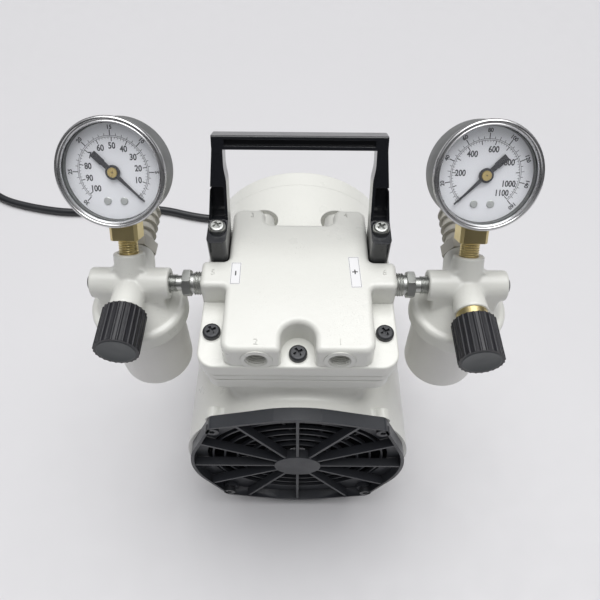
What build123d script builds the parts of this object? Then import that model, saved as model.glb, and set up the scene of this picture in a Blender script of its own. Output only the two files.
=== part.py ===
from build123d import *
import math
import os

os.makedirs("parts", exist_ok=True)

# Diaphragm vacuum pump. Millimetres, +Z up, front towards -Y.
# The origin is on the table, under the middle of the pump's length and width.

# ---- Overall layout ----
body_length = 214.6  # fan guard face to the heads of the rear bell's screws
axis_z = 87.0  # height of the motor shaft
head_from_front = 66.0  # crank and pump head, behind the guard's face
head_top_z = 212.0

# ---- Clearances ----
fit = 0.05  # radial, where one round piece fits in another
gap = 0.3  # between curved or moving neighbours

# ---- Motor housing ----
housing_r = 73.5
housing_wall = 3.0
guard_depth = 8.0
bell_depth = 16.0
neck_w = 84.0
neck_d = 98.0
neck_corner = 16.0
neck_bore_r = 33.0
neck_blend_r = 5.0  # where the neck grows out of the barrel
lug_r = 7.5
lug_length = 16.0
guard_bolt_x = 51.0
guard_bolt_z = 55.5
foot_x = 44.0
foot_y = 62.0
foot_pad_w = 22.0
foot_pad_corner = 5.0

# ---- Rubber feet ----
foot_height = 12.0
foot_top_r = 10.5
foot_base_r = 12.5
foot_recess_r = 6.5
foot_recess_depth = 6.0
foot_screw_r = 2.5
foot_screw_head_r = 4.5
foot_screw_head_h = 3.0
foot_screw_length = 17.0

# ---- Fan guard ----
guard_corner_x = 53.5
guard_corner_z = 61.5
guard_corner_r = 3.0
guard_wall = 2.4
guard_hub_r = 15.5
guard_spokes = 12
guard_spoke_w = 1.8
guard_spoke_depth = 6.0
guard_spoke_set_back = 0.4  # spokes start behind the hub's face
guard_ring_first_r = 24.0
guard_ring_step = 8.6
guard_rings = 5
guard_ring_w = 1.4
guard_ring_depth = 2.2
guard_boss_r = 6.2
guard_boss_depth = 4.2
guard_bolt_r = 2.0
guard_bolt_head_r = 4.2
guard_bolt_head_h = 3.8
guard_bolt_length = 14.0
guard_bolt_socket = 3.4
guard_bolt_floor = 1.7  # metal under the socket

# ---- Rear bell ----
bell_wall = 3.0
bell_edge_r = 13.0
bell_slots = 12
bell_slot_in_r = 26.0
bell_slot_out_r = 44.0
bell_slot_w = 4.0
bell_screw_pitch_r = 60.0
bell_screw_count = 4
bell_screw_first = 45.0  # degrees
rear_bearing_inset = 4.0  # ahead of the bell's seat
bell_screw_r = 2.0
bell_screw_head_r = 4.0
bell_screw_head_h = 2.6

# ---- Shaft, bearings and motor ----
shaft_r = 6.0
shaft_front_gap = 4.0  # shaft end behind the guard hub
shaft_chamfer = 0.8
web_clearance = 1.0  # round the shaft, in the bearing web
bearing_r = 14.0
bearing_w = 10.0
bearing_web_w = 14.0
bearing_boss_r = 19.0
web_back_y = 32.0  # rear face of the bearing web, from the crank centre
stator_r = 58.0
stator_bore_r = 33.0
stator_length = 46.0
stator_gap_to_web = 22.0
stator_slots = 12
stator_slot_in_r = 37.0
stator_slot_out_r = 47.0
stator_slot_w = 7.0
rib_w = 9.0
winding_in_r = 36.0
winding_out_r = 50.0
winding_h = 11.0
air_gap = 0.5
rotor_ring_h = 4.0
rotor_ring_in_r = 20.0

# ---- Crank ----
crank_throw = 3.0
journal_r = 11.0
journal_w = 22.0
crank_bearing_r = 17.0
crank_bearing_w = 14.0
rod_eye_r = 22.0
rod_w = 12.0
rod_stem_w = 20.0
rod_shoulder_x = 17.6  # where the stem leaves the eye
rod_shoulder_z = 12.1
rod_neck_h = 6.0  # stem widens to the table over this height
rod_table_r = 24.0
rod_table_h = 4.0
rod_table_half = 19.2  # half width of the web under the table
clamp_r = 23.0
clamp_h = 3.0
clamp_edge = 1.2
clamp_screw_r = 3.0
clamp_screw_length = 16.0
clamp_screw_head_r = 5.4
clamp_screw_head_h = 1.5
weight_r = 31.0
weight_w = 8.0
weight_hub_r = 12.0
weight_edge = 1.0

# ---- Fan ----
fan_r = 60.0
fan_hub_r = 14.0
fan_depth = 15.0
fan_plate = 1.6
fan_blades = 11
fan_blade_w = 1.8
fan_blade_rake = 18.0  # degrees
fan_blade_root_l = 0.5  # blades run into the hub
fan_gap = 3.0  # behind the guard

# ---- Pump head ----
cover_h = 25.6
flange_w = 110.0
flange_d = 104.0
block_inset_x = 14.5  # raised block inside the flange, each side
block_inset_y = 1.0
flange_h = 9.6
flange_corner = 10.0
block_corner = 6.0
cover_edge = 3.0
valve_plate_h = 5.4
valve_plate_inset = 1.5  # narrower than the flange, each side
base_plate_h = 9.0
base_plate_inset = 3.0
plate_inset_y = 0.5  # both plates, each end
plate_corner = 9.0
plate_edge = 1.2
diaphragm_h = 2.0
diaphragm_r = 39.0
chamber_r = 33.0
boss_w = 18.6  # side boss along Y
boss_proud = 0.5  # side boss past the flange
port_drop = 10.0  # port axis below the head top
port_mouth_r = 6.05
port_x = 22.0
spot_r = 8.6
spot_proud = 0.5
duct_in_x = 4.0
duct_out_x = 33.0
duct_half_y = 31.0
duct_roof_z = 203.0
duct_corner = 5.0
front_notch_r = 9.2
front_notch_ahead = 1.8  # round end of the notch, past the screw
front_notch_edge = 2.5
rear_notch_half = 21.0
rear_notch_clear = 0.5  # round the screw head
rear_notch_edge = 5.0
valve_hole_r = 4.0
valve_hole_x = 18.5
flap_w = 13.0
flap_l = 26.0
flap_h = 0.4
head_screw_r = 2.4
head_screw_head_r = 5.0
head_screw_head_h = 3.2
head_screw_slot = 1.4
head_screw_turns = (30, 120)  # degrees, the two arms of the cross
ear_screw_inset = 7.0
ear_screw_y = -30.4  # from the head centre
notch_screw_y = 44.0
ear_screw_length = 20.0
notch_screw_length = 34.0

# ---- Handle ----
handle_foot_w = 11.0
handle_foot_corner = 3.4
handle_foot_d = 28.0
handle_foot_h = 30.0
handle_lean = 27.0  # degrees back from upright
handle_pivot_y = 27.0  # leg front face at the foot top, from the head centre
handle_depth = 12.0
handle_rise = 47.5
handle_bar = 7.5
handle_top_inset = 7.0  # top corners inside the flange's sides
handle_slim_w = 6.0
handle_step_low = 21.0
handle_step_high = 32.0
handle_root = 22.0
pocket_w = 7.6
pocket_h = 19.0
pocket_depth = 8.0
pocket_floor = 0.5  # pocket starts above the foot
groove_w = 3.4
groove_depth = 3.0
groove_end = 1.0  # groove stops short of the legs
handle_edge = 1.0
handle_screw_y = 20.5
handle_screw_r = 2.5
handle_screw_head_r = 4.7
handle_screw_head_h = 3.4
handle_screw_length = 48.0

# ---- Nipples between head and manifolds ----
npt4_r = 6.85
npt8_r = 5.15
nipple_engage = 8.5
nipple_hex_flats = 14.3
nipple_hex_w = 4.7
nipple_thread4 = 4.4
nipple_neck4 = 1.9
nipple_neck4_r = 5.8
nipple_neck8 = 3.6
nipple_neck8_r = 4.5
nipple_thread8 = 3.9
nipple_bore_r = 2.6

# ---- Manifolds ----
cross_half = 22.5  # half length of the side bosses
cross_r = 9.0
skirt_half = 19.0
skirt_sink = 1.0  # into the collar
gauge_boss_r = 8.8
gauge_boss_l = 18.0
gauge_lean = 33.5  # degrees back from upright
knob_boss_l = 20.5
knob_boss_root_r = 8.2
knob_boss_end_r = 9.8
rear_boss_l = 22.0
rear_boss_root_r = 14.0
rear_boss_end_r = 9.5
collar_r = 28.5
collar_top_drop = 18.0  # collar top below the port axis
collar_h = 12.0
collar_edge = 3.0
dome_base_r = 24.5
dome_top_r = 13.0
dome_h = 11.0
passage_r = 2.5

# ---- Side plugs and hose barbs ----
plug_head_r = 4.7
plug_head_h = 2.0
plug_engage = 8.0
plug_edge = 0.8
bore_beyond = 1.0  # blind threads run this far past what they hold
barb_hex_flats = 18.0
barb_hex_w = 8.0
barb_root_r = 6.0
barb_rib_r = 8.0
barb_ribs = 5
barb_pitch = 6.4
barb_first_rib = 1.4
barb_rib_l = 5.0
barb_bore_r = 3.4

# ---- Jars and filters ----
jar_top_r = 24.2
jar_base_r = 23.0
jar_wall = 2.0
jar_height = 63.0
jar_insert = 8.0  # depth of the jar's rim inside the collar
jar_edge_r = 7.0
jar_seal_h = 1.5
jar_seal_w = 3.0
filter_r = 8.0
filter_l = 26.0
filter_edge = 1.5
filter_stud_r = 3.0
filter_stud_l = 5.0

# ---- Regulators ----
knob_r = 12.3
knob_length = 24.5
knob_ribs = 24
knob_rib_r = 0.9
knob_skirt_wall = 1.9
knob_skirt_depth = 12.0
knob_gap_left = 1.5  # knob behind its boss, as the setting has it
knob_gap_right = 6.0
bonnet_r = 8.6
bonnet_front = 7.5
bonnet_engage = 7.0
bonnet_thread_r = 6.4
bonnet_wall = 1.6
bonnet_end = 3.0  # front wall, which guides the stem
bonnet_chamber = 4.0  # space behind the thread
stem_r = 2.5
seat_r = 4.4
seat_h = 2.0

# ---- Gauges ----
gauge_rise = 64.5  # dial centre from the port axis, along the leaning stem
gauge_case_r = 26.2
gauge_case_wall = 1.4
gauge_case_edge = 2.0
gauge_back = 8.0  # case behind the stem axis
gauge_front = 19.0  # bezel face ahead of the stem axis
bezel_r = 28.5
bezel_open_r = 24.4
bezel_lip = 1.8
bezel_skirt = 9.0
bezel_edge = 1.2
window_h = 1.6
dial_depth = 6.6  # dial face behind the window
dial_h = 0.8
dial_ledge = 1.5
pointer_tip = 21.5
pointer_tail = 13.6
pointer_h = 0.6
pointer_gap = 1.0
pointer_hub_r = 3.8
pointer_pin_r = 0.9
pointer_pin_l = 2.0  # behind the dial
pointer_tail_w = 3.4
pointer_neck_w = 2.6
pointer_root_w = 2.2
pointer_tip_w = 0.5
pointer_cap_r = 2.1
pointer_cap_h = 0.8
dial_zero = 45.0  # degrees below the horizontal
stem_block = 14.0
stem_block_l = 13.0
stem_block_chamfer = 1.6
stem_block_in = 5.0  # block reaches into the case
stem_slot_low = 2.0  # slot in the case starts below its wall
stem_engage = 8.0

# ---- Cord ----
cord_d = 8.0
cord_exit_x = -13.0
cord_exit_z = 39.0
relief_l = 24.0
relief_root_r = 7.5
relief_end_r = 5.2
relief_flange_r = 9.0
relief_flange_h = 2.5
coil_turns_across = 3
coil_mid_r = 44.0
coil_height = 15.0
coil_edge = 2.8
plug_l = 36.0
plug_w = 26.0
plug_h = 17.0
plug_back_w = 15.6
plug_back_h = 13.6
plug_corner = 4.0
plug_into_coil = 2.0
plug_nose_r = 5.5
plug_nose_l = 12.0
blade_l = 17.0
blade_w = 6.3
blade_h = 1.5
blade_gap = 12.7

# ---- Derived places ----
front_face_y = -body_length / 2
head_y = front_face_y + head_from_front
head_w = flange_w - 2 * block_inset_x
head_d = flange_d - 2 * block_inset_y
base_plate_w = flange_w - 2 * base_plate_inset
valve_plate_w = flange_w - 2 * valve_plate_inset
plate_d = flange_d - 2 * plate_inset_y
boss_out_x = flange_w / 2 + boss_proud
ear_screw_x = flange_w / 2 - ear_screw_inset
handle_top_half = flange_w / 2 - handle_top_inset
front_notch_depth = head_d / 2 - notch_screw_y + front_notch_r + front_notch_ahead
rear_notch_depth = head_d / 2 - notch_screw_y + head_screw_head_r + rear_notch_clear
rear_face_y = body_length / 2 - bell_screw_head_h
guard_seat_y = front_face_y + guard_depth
bell_seat_y = rear_face_y - bell_depth
housing_bore_r = housing_r - housing_wall
cover_z = head_top_z - cover_h
flange_top_z = cover_z + flange_h
valve_plate_z = cover_z - valve_plate_h
neck_top_z = valve_plate_z - base_plate_h
head_front_y = head_y - head_d / 2
head_rear_y = head_y + head_d / 2
port_z = head_top_z - port_drop
web_y = head_y + web_back_y
stator_y = web_y + stator_gap_to_web
rotor_r = stator_bore_r - air_gap
nipple_open = nipple_thread4 + nipple_neck4 + nipple_hex_w + nipple_neck8 + nipple_thread8
manifold_in_x = boss_out_x + nipple_open
manifold_x = manifold_in_x + cross_half
manifold_out_x = manifold_x + cross_half
collar_top_z = port_z - collar_top_drop
collar_z = collar_top_z - collar_h
jar_rim_z = collar_z + jar_insert
jar_cavity_top_z = jar_rim_z + jar_seal_h
jar_cavity_r = jar_top_r + gap
handle_foot_y = head_y + boss_w / 2 + gap  # front face of the handle feet
knob_boss_y = head_y - knob_boss_l
rear_boss_y = head_y + rear_boss_l
guard_bolts = [(sx * guard_bolt_x, sz * guard_bolt_z) for sx in (-1, 1) for sz in (-1, 1)]
feet = [(sx * foot_x, sy * foot_y) for sx in (-1, 1) for sy in (-1, 1)]
ear_screws = [(sx * ear_screw_x, head_y + ear_screw_y) for sx in (-1, 1)]
notch_screws = [(0, head_y + sy * notch_screw_y) for sy in (-1, 1)]
head_screw_points = ear_screws + notch_screws
handle_screws_xy = [(sx * (head_w / 2 + gap + handle_foot_w / 2), head_y + handle_screw_y) for sx in (-1, 1)]
neck_screws_z = flange_top_z - notch_screw_length


def facing_front(y, x=0.0, z=0.0):
    """Plane at depth y that faces the front, with local x to the right and local y up."""
    return Plane(origin=(x, y, z), x_dir=(1, 0, 0), z_dir=(0, -1, 0))


def facing_back(y, x=0.0, z=0.0):
    """Plane at depth y that faces the back, with local x to the left and local y up."""
    return Plane(origin=(x, y, z), x_dir=(-1, 0, 0), z_dir=(0, 1, 0))


def facing_out(x, side, y=head_y, z=port_z):
    """Plane at width x that faces outwards on one side, with local x along Y."""
    return Plane(origin=(side * x, y, z), x_dir=(0, 1, 0), z_dir=(side, 0, 0))


def save(piece, name):
    piece.label = name
    export_step(piece, f"parts/{name}.step")


def disc(plane, radius, height, mode=Mode.ADD):
    """Add or cut a round bar that starts on a plane."""
    with BuildSketch(plane) as round_face:
        Circle(radius)
    extrude(round_face.sketch, amount=height, mode=mode)


def screw(points, top_z, radius, length, head_r, head_h):
    """Upright pan-head screws with a cross slot, one solid at each point."""
    with BuildPart() as screws:
        with Locations(*[(x, y, top_z) for x, y in points]):
            Cylinder(radius, length, align=(Align.CENTER, Align.CENTER, Align.MAX))
            Cylinder(head_r, head_h, align=(Align.CENTER, Align.CENTER, Align.MIN))
        rims = screws.edges().filter_by(GeomType.CIRCLE).group_by(Axis.Z)[-1]
        fillet(rims, head_h * 0.45)
        with Locations(*[(x, y, top_z + head_h) for x, y in points]):
            for turn in head_screw_turns:
                Box(head_r * 1.1, head_screw_slot, head_h, rotation=(0, 0, turn), mode=Mode.SUBTRACT)
    return screws.part


# =====================================================================
# Motor housing: barrel, guard lugs, crank neck, foot pads, bearing web
# =====================================================================
with BuildPart() as motor_housing:
    disc(facing_front(bell_seat_y, z=axis_z), housing_r, bell_seat_y - guard_seat_y)
    with BuildSketch(facing_front(guard_seat_y + lug_length, z=axis_z)):
        with Locations(*guard_bolts):
            Circle(lug_r)
    extrude(amount=lug_length)
    with BuildSketch(Plane.XY.offset(neck_top_z)):
        with Locations((0, head_y)):
            RectangleRounded(neck_w, neck_d, neck_corner)
    extrude(amount=axis_z - neck_top_z)
    neck_seam = motor_housing.edges().filter_by(
        lambda e: axis_z + housing_r / 2 < e.center().Z < neck_top_z
        and head_front_y < e.center().Y < head_rear_y
        and abs(e.center().X) < neck_w / 2
        and e.geom_type != GeomType.LINE
    )
    fillet(neck_seam, neck_blend_r)
    with BuildSketch(Plane.XY.offset(foot_height)):
        with Locations(*feet):
            RectangleRounded(foot_pad_w, foot_pad_w, foot_pad_corner)
    extrude(amount=axis_z - foot_height - housing_r / 2)
    disc(facing_front(bell_seat_y, z=axis_z), housing_bore_r, bell_seat_y - guard_seat_y, Mode.SUBTRACT)
    with BuildSketch(Plane.XY.offset(neck_top_z)):
        with Locations((0, head_y)):
            Circle(neck_bore_r)
    extrude(amount=axis_z - neck_top_z, mode=Mode.SUBTRACT)
    # Web with the seat of the front bearing
    disc(facing_front(web_y, z=axis_z), housing_bore_r + housing_wall / 2, housing_wall)
    disc(facing_front(web_y, z=axis_z), bearing_boss_r, bearing_web_w)
    disc(facing_front(web_y, z=axis_z), bearing_r, bearing_w, Mode.SUBTRACT)
    disc(facing_front(web_y, z=axis_z), shaft_r + web_clearance, bearing_web_w, Mode.SUBTRACT)
    # Ribs that hold the stator, each with a shoulder in front of it
    with BuildSketch(facing_back(web_y, z=axis_z)) as ribs:
        with PolarLocations((stator_r + housing_bore_r) / 2, 6):
            Rectangle(housing_bore_r - stator_r + housing_wall, rib_w)
        Circle(stator_r + fit, mode=Mode.SUBTRACT)
    extrude(amount=stator_y + stator_length - web_y)
    with BuildSketch(facing_back(web_y, z=axis_z)) as shoulders:
        with PolarLocations((stator_r + housing_bore_r) / 2 - 2, 6):
            Rectangle(housing_bore_r - stator_r + 2, rib_w)
    extrude(amount=stator_y - web_y)
    # Threaded holes of the guard, bell, foot and head screws
    with BuildSketch(facing_back(guard_seat_y, z=axis_z)):
        with Locations(*guard_bolts):
            Circle(guard_bolt_r + fit)
    extrude(amount=guard_bolt_length - guard_boss_depth + bore_beyond, mode=Mode.SUBTRACT)
    with BuildSketch(Plane.XY.offset(foot_height)):
        with Locations(*feet):
            Circle(foot_screw_r + fit)
    extrude(amount=foot_screw_length, mode=Mode.SUBTRACT)
    with BuildSketch(Plane.XY.offset(neck_top_z)):
        with Locations(*notch_screws):
            Circle(head_screw_r + fit)
    extrude(amount=neck_screws_z - neck_top_z - bore_beyond, mode=Mode.SUBTRACT)
save(motor_housing.part, "motor_housing")

# =====================================================================
# Rear bell with vent slots, rear bearing boss and four long screws
# =====================================================================
rear_bearing_y = bell_seat_y - rear_bearing_inset
with BuildPart() as rear_bell:
    with BuildSketch(Plane.YZ) as bell_profile:
        with BuildLine():
            Polyline(
                (bell_seat_y, axis_z),
                (bell_seat_y, axis_z + housing_r),
                (rear_face_y - bell_edge_r, axis_z + housing_r),
            )
            RadiusArc(
                (rear_face_y - bell_edge_r, axis_z + housing_r),
                (rear_face_y, axis_z + housing_r - bell_edge_r),
                bell_edge_r,
            )
            Polyline(
                (rear_face_y, axis_z + housing_r - bell_edge_r),
                (rear_face_y, axis_z),
                (bell_seat_y, axis_z),
            )
        make_face()
    revolve(axis=Axis((0, 0, axis_z), (0, 1, 0)))
    bell_inside_r = housing_bore_r - bell_edge_r / 2
    disc(facing_back(bell_seat_y, z=axis_z), bell_inside_r, bell_depth - bell_wall, Mode.SUBTRACT)
    with BuildSketch(facing_back(rear_bearing_y, z=axis_z)):
        Circle(bearing_boss_r)
    extrude(amount=rear_face_y - rear_bearing_y - bell_wall / 2)
    with BuildSketch(facing_front(rear_face_y, z=axis_z)):
        with PolarLocations((bell_slot_in_r + bell_slot_out_r) / 2, bell_slots):
            SlotOverall(bell_slot_out_r - bell_slot_in_r, bell_slot_w)
    extrude(amount=bell_wall, mode=Mode.SUBTRACT)
    disc(facing_back(rear_bearing_y, z=axis_z), bearing_r, bearing_w, Mode.SUBTRACT)
    with BuildSketch(facing_front(rear_face_y, z=axis_z)):
        with PolarLocations(bell_screw_pitch_r, bell_screw_count, start_angle=bell_screw_first):
            Circle(bell_screw_r + fit)
    extrude(amount=bell_depth, mode=Mode.SUBTRACT)
save(rear_bell.part, "rear_bell")

with BuildPart() as bell_screws:
    with BuildSketch(facing_front(rear_face_y, z=axis_z)):
        with PolarLocations(bell_screw_pitch_r, bell_screw_count, start_angle=bell_screw_first):
            Circle(bell_screw_r)
    extrude(amount=bell_depth)
    with BuildSketch(facing_back(rear_face_y, z=axis_z)):
        with PolarLocations(bell_screw_pitch_r, bell_screw_count, start_angle=bell_screw_first):
            Circle(bell_screw_head_r)
    extrude(amount=bell_screw_head_h)
    fillet(bell_screws.edges().filter_by(GeomType.CIRCLE).group_by(Axis.Y)[-1], bell_screw_head_h * 0.5)
save(bell_screws.part, "bell_screws")

# =====================================================================
# Fan guard: a rim on the hull of the barrel and four corners, spokes, rings
# =====================================================================
guard_plane = facing_front(guard_seat_y, z=axis_z)
guard_corners = [(sx * guard_corner_x, sz * guard_corner_z) for sx in (-1, 1) for sz in (-1, 1)]
with BuildPart() as fan_guard:
    with BuildSketch(guard_plane) as guard_outline:
        Circle(housing_r)
        with Locations(*guard_corners):
            Circle(guard_corner_r)
        make_hull()
    extrude(amount=guard_depth)
    with BuildSketch(guard_plane) as guard_opening:
        Circle(housing_r - guard_wall)
        with Locations(*guard_corners):
            Circle(guard_corner_r - guard_wall)
        make_hull()
    extrude(amount=guard_depth, mode=Mode.SUBTRACT)
    disc(facing_front(front_face_y + guard_spoke_depth, z=axis_z), guard_hub_r, guard_spoke_depth)
    with BuildSketch(facing_front(front_face_y + guard_spoke_depth, z=axis_z)):
        with PolarLocations(housing_r / 2, guard_spokes):
            Rectangle(housing_r + 2 * guard_corner_r, guard_spoke_w)
        add(guard_outline.sketch_local, mode=Mode.INTERSECT)
    extrude(amount=guard_spoke_depth - guard_spoke_set_back)
    with BuildSketch(guard_plane):
        for ring in reversed(range(guard_rings)):
            ring_r = guard_ring_first_r + ring * guard_ring_step
            Circle(ring_r)
            Circle(ring_r - guard_ring_w, mode=Mode.SUBTRACT)
    extrude(amount=guard_ring_depth)
    with BuildSketch(guard_plane):
        with Locations(*guard_bolts):
            Circle(guard_boss_r)
        add(guard_outline.sketch_local, mode=Mode.INTERSECT)
    extrude(amount=guard_boss_depth)
    with BuildSketch(guard_plane):
        with Locations(*guard_bolts):
            Circle(guard_bolt_r + fit)
    extrude(amount=guard_boss_depth, mode=Mode.SUBTRACT)
save(fan_guard.part, "fan_guard")

with BuildPart() as guard_bolt_set:
    with BuildSketch(facing_back(guard_seat_y - guard_boss_depth, z=axis_z)):
        with Locations(*guard_bolts):
            Circle(guard_bolt_r)
    extrude(amount=guard_bolt_length)
    with BuildSketch(facing_front(guard_seat_y - guard_boss_depth, z=axis_z)):
        with Locations(*guard_bolts):
            Circle(guard_bolt_head_r)
            RegularPolygon(guard_bolt_socket / 2, 6, major_radius=False, mode=Mode.SUBTRACT)
    extrude(amount=guard_bolt_head_h)
    with BuildSketch(facing_front(guard_seat_y - guard_boss_depth, z=axis_z)):
        with Locations(*guard_bolts):
            Circle(guard_bolt_socket)
    extrude(amount=guard_bolt_floor)
save(guard_bolt_set.part, "guard_bolts")

# =====================================================================
# Rubber feet and their screws
# =====================================================================
with BuildPart() as rubber_feet:
    with Locations(*[(x, y, 0) for x, y in feet]):
        Cone(foot_base_r, foot_top_r, foot_height, align=(Align.CENTER, Align.CENTER, Align.MIN))
        Cylinder(
            foot_recess_r,
            foot_recess_depth,
            align=(Align.CENTER, Align.CENTER, Align.MIN),
            mode=Mode.SUBTRACT,
        )
        Cylinder(
            foot_screw_r + fit, foot_height, align=(Align.CENTER, Align.CENTER, Align.MIN), mode=Mode.SUBTRACT
        )
save(rubber_feet.part, "rubber_feet")

with BuildPart() as foot_screws:
    with Locations(*[(x, y, foot_recess_depth) for x, y in feet]):
        Cylinder(
            foot_screw_head_r, foot_screw_head_h, align=(Align.CENTER, Align.CENTER, Align.MAX)
        )
        Cylinder(foot_screw_r, foot_screw_length, align=(Align.CENTER, Align.CENTER, Align.MIN))
save(foot_screws.part, "foot_screws")

# =====================================================================
# Motor: stator, windings, bearings, rotor, shaft, crank, weight and fan
# =====================================================================
with BuildPart() as stator_core:
    with BuildSketch(facing_back(stator_y, z=axis_z)):
        Circle(stator_r)
        Circle(stator_bore_r, mode=Mode.SUBTRACT)
        with PolarLocations((stator_slot_in_r + stator_slot_out_r) / 2, stator_slots):
            SlotOverall(stator_slot_out_r - stator_slot_in_r, stator_slot_w, mode=Mode.SUBTRACT)
    extrude(amount=stator_length)
save(stator_core.part, "stator_core")

with BuildPart() as stator_windings:
    for winding_plane in (facing_front(stator_y, z=axis_z), facing_back(stator_y + stator_length, z=axis_z)):
        with BuildSketch(winding_plane):
            Circle(winding_out_r)
            Circle(winding_in_r, mode=Mode.SUBTRACT)
        extrude(amount=winding_h)
save(stator_windings.part, "stator_windings")


def make_bearing(back_y, name):
    """Ball bearing as one ring, with its shields set in and a bore that runs on the shaft."""
    with BuildPart() as bearing:
        disc(facing_front(back_y, z=axis_z), bearing_r, bearing_w)
        disc(facing_front(back_y, z=axis_z), shaft_r + fit, bearing_w, Mode.SUBTRACT)
    save(bearing.part, name)


make_bearing(web_y, "front_bearing")
make_bearing(rear_bearing_y + bearing_w, "rear_bearing")

shaft_front_y = front_face_y + guard_depth + shaft_front_gap
fan_front_y = guard_seat_y + fan_gap
fan_back_y = fan_front_y + fan_depth
journal_y = head_y + journal_w / 2
hub_back_y = web_y - bearing_web_w - gap
with BuildPart() as motor_shaft:
    shaft_rear_y = rear_bearing_y + bearing_w
    disc(facing_front(shaft_rear_y, z=axis_z), shaft_r, shaft_rear_y - shaft_front_y)
    chamfer(motor_shaft.edges().filter_by(GeomType.CIRCLE), shaft_chamfer)
save(motor_shaft.part, "motor_shaft")

with BuildPart() as rotor:
    rotor_y = stator_y - rotor_ring_h
    rotor_length = stator_length + 2 * rotor_ring_h
    disc(facing_back(rotor_y, z=axis_z), rotor_r, rotor_length)
    for ring_plane in (
        facing_back(rotor_y, z=axis_z),
        facing_front(rotor_y + rotor_length, z=axis_z),
    ):
        disc(ring_plane, rotor_ring_in_r, rotor_ring_h, Mode.SUBTRACT)
    disc(facing_back(rotor_y, z=axis_z), shaft_r, rotor_length, Mode.SUBTRACT)
save(rotor.part, "rotor")

crank_z = axis_z + crank_throw
with BuildPart() as eccentric:
    disc(facing_front(journal_y, z=crank_z), journal_r, journal_w)
    disc(facing_front(hub_back_y, z=axis_z), weight_hub_r, hub_back_y - journal_y)
    disc(facing_front(hub_back_y, z=axis_z), shaft_r, hub_back_y - head_y + journal_w, Mode.SUBTRACT)
save(eccentric.part, "eccentric")

with BuildPart() as counterweight:
    with BuildSketch(facing_front(head_y - journal_w / 2, z=axis_z)):
        Circle(weight_r)
        with Locations((0, weight_r)):
            Rectangle(2 * weight_r, 2 * weight_r, mode=Mode.SUBTRACT)
        Circle(weight_hub_r)
        Circle(shaft_r, mode=Mode.SUBTRACT)
    extrude(amount=weight_w)
    fillet(counterweight.edges().filter_by(Axis.Y), weight_edge)
save(counterweight.part, "counterweight")

with BuildPart() as cooling_fan:
    disc(facing_front(fan_back_y, z=axis_z), fan_hub_r, fan_depth)
    disc(facing_front(fan_back_y, z=axis_z), fan_r, fan_plate)
    with BuildSketch(facing_front(fan_back_y, z=axis_z)):
        with PolarLocations((fan_r + fan_hub_r) / 2 - fan_blade_root_l, fan_blades):
            Rectangle(fan_r - fan_hub_r, fan_blade_w, rotation=fan_blade_rake)
        Circle(fan_r, mode=Mode.INTERSECT)
    extrude(amount=fan_depth)
    disc(facing_front(fan_back_y, z=axis_z), shaft_r, fan_depth, Mode.SUBTRACT)
save(cooling_fan.part, "cooling_fan")

# =====================================================================
# Connecting rod on its crank bearing, with the diaphragm's clamp
# =====================================================================
with BuildPart() as crank_bearing:
    crank_bearing_face = facing_front(head_y + crank_bearing_w / 2, z=crank_z)
    disc(crank_bearing_face, crank_bearing_r, crank_bearing_w)
    disc(crank_bearing_face, journal_r + fit, crank_bearing_w, Mode.SUBTRACT)
save(crank_bearing.part, "crank_bearing")

rod_table_z = neck_top_z
with BuildPart() as connecting_rod:
    with BuildSketch(facing_front(head_y + rod_w / 2, z=crank_z)):
        Circle(rod_eye_r)
        with BuildLine():
            Polyline(
                (-rod_shoulder_x, rod_shoulder_z),
                (-rod_stem_w / 2, rod_table_z - crank_z - rod_table_h - rod_neck_h),
                (-rod_table_half, rod_table_z - crank_z - rod_table_h),
                (rod_table_half, rod_table_z - crank_z - rod_table_h),
                (rod_stem_w / 2, rod_table_z - crank_z - rod_table_h - rod_neck_h),
                (rod_shoulder_x, rod_shoulder_z),
                close=True,
            )
        make_face()
    extrude(amount=rod_w)
    with BuildSketch(Plane.XY.offset(rod_table_z)):
        with Locations((0, head_y)):
            Circle(rod_table_r)
    extrude(amount=-rod_table_h)
    disc(facing_front(head_y + rod_w / 2, z=crank_z), crank_bearing_r, rod_w, Mode.SUBTRACT)
    with BuildSketch(Plane.XY.offset(rod_table_z)):
        with Locations((0, head_y)):
            Circle(clamp_screw_r)
    extrude(amount=-clamp_screw_length, mode=Mode.SUBTRACT)
save(connecting_rod.part, "connecting_rod")

with BuildPart() as clamp_disc:
    with BuildSketch(Plane.XY.offset(rod_table_z)):
        with Locations((0, head_y)):
            Circle(clamp_r)
            Circle(clamp_screw_r, mode=Mode.SUBTRACT)
    extrude(amount=diaphragm_h + clamp_h)
    fillet(clamp_disc.edges().filter_by(GeomType.CIRCLE).sort_by(SortBy.RADIUS)[-1], clamp_edge)
save(clamp_disc.part, "clamp_disc")

with BuildPart() as clamp_screw:
    with Locations((0, head_y, rod_table_z + diaphragm_h + clamp_h)):
        Cylinder(clamp_screw_r, clamp_screw_length, align=(Align.CENTER, Align.CENTER, Align.MAX))
        Cylinder(clamp_screw_head_r, clamp_screw_head_h, align=(Align.CENTER, Align.CENTER, Align.MIN))
save(clamp_screw.part, "clamp_screw")

# =====================================================================
# Diaphragm, base plate, valve plate, flaps
# =====================================================================
with BuildPart() as diaphragm:
    with BuildSketch(Plane.XY.offset(neck_top_z)):
        with Locations((0, head_y)):
            Circle(diaphragm_r)
            Circle(rod_table_r + crank_throw + gap, mode=Mode.SUBTRACT)
    extrude(amount=diaphragm_h)
save(diaphragm.part, "diaphragm")


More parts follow.
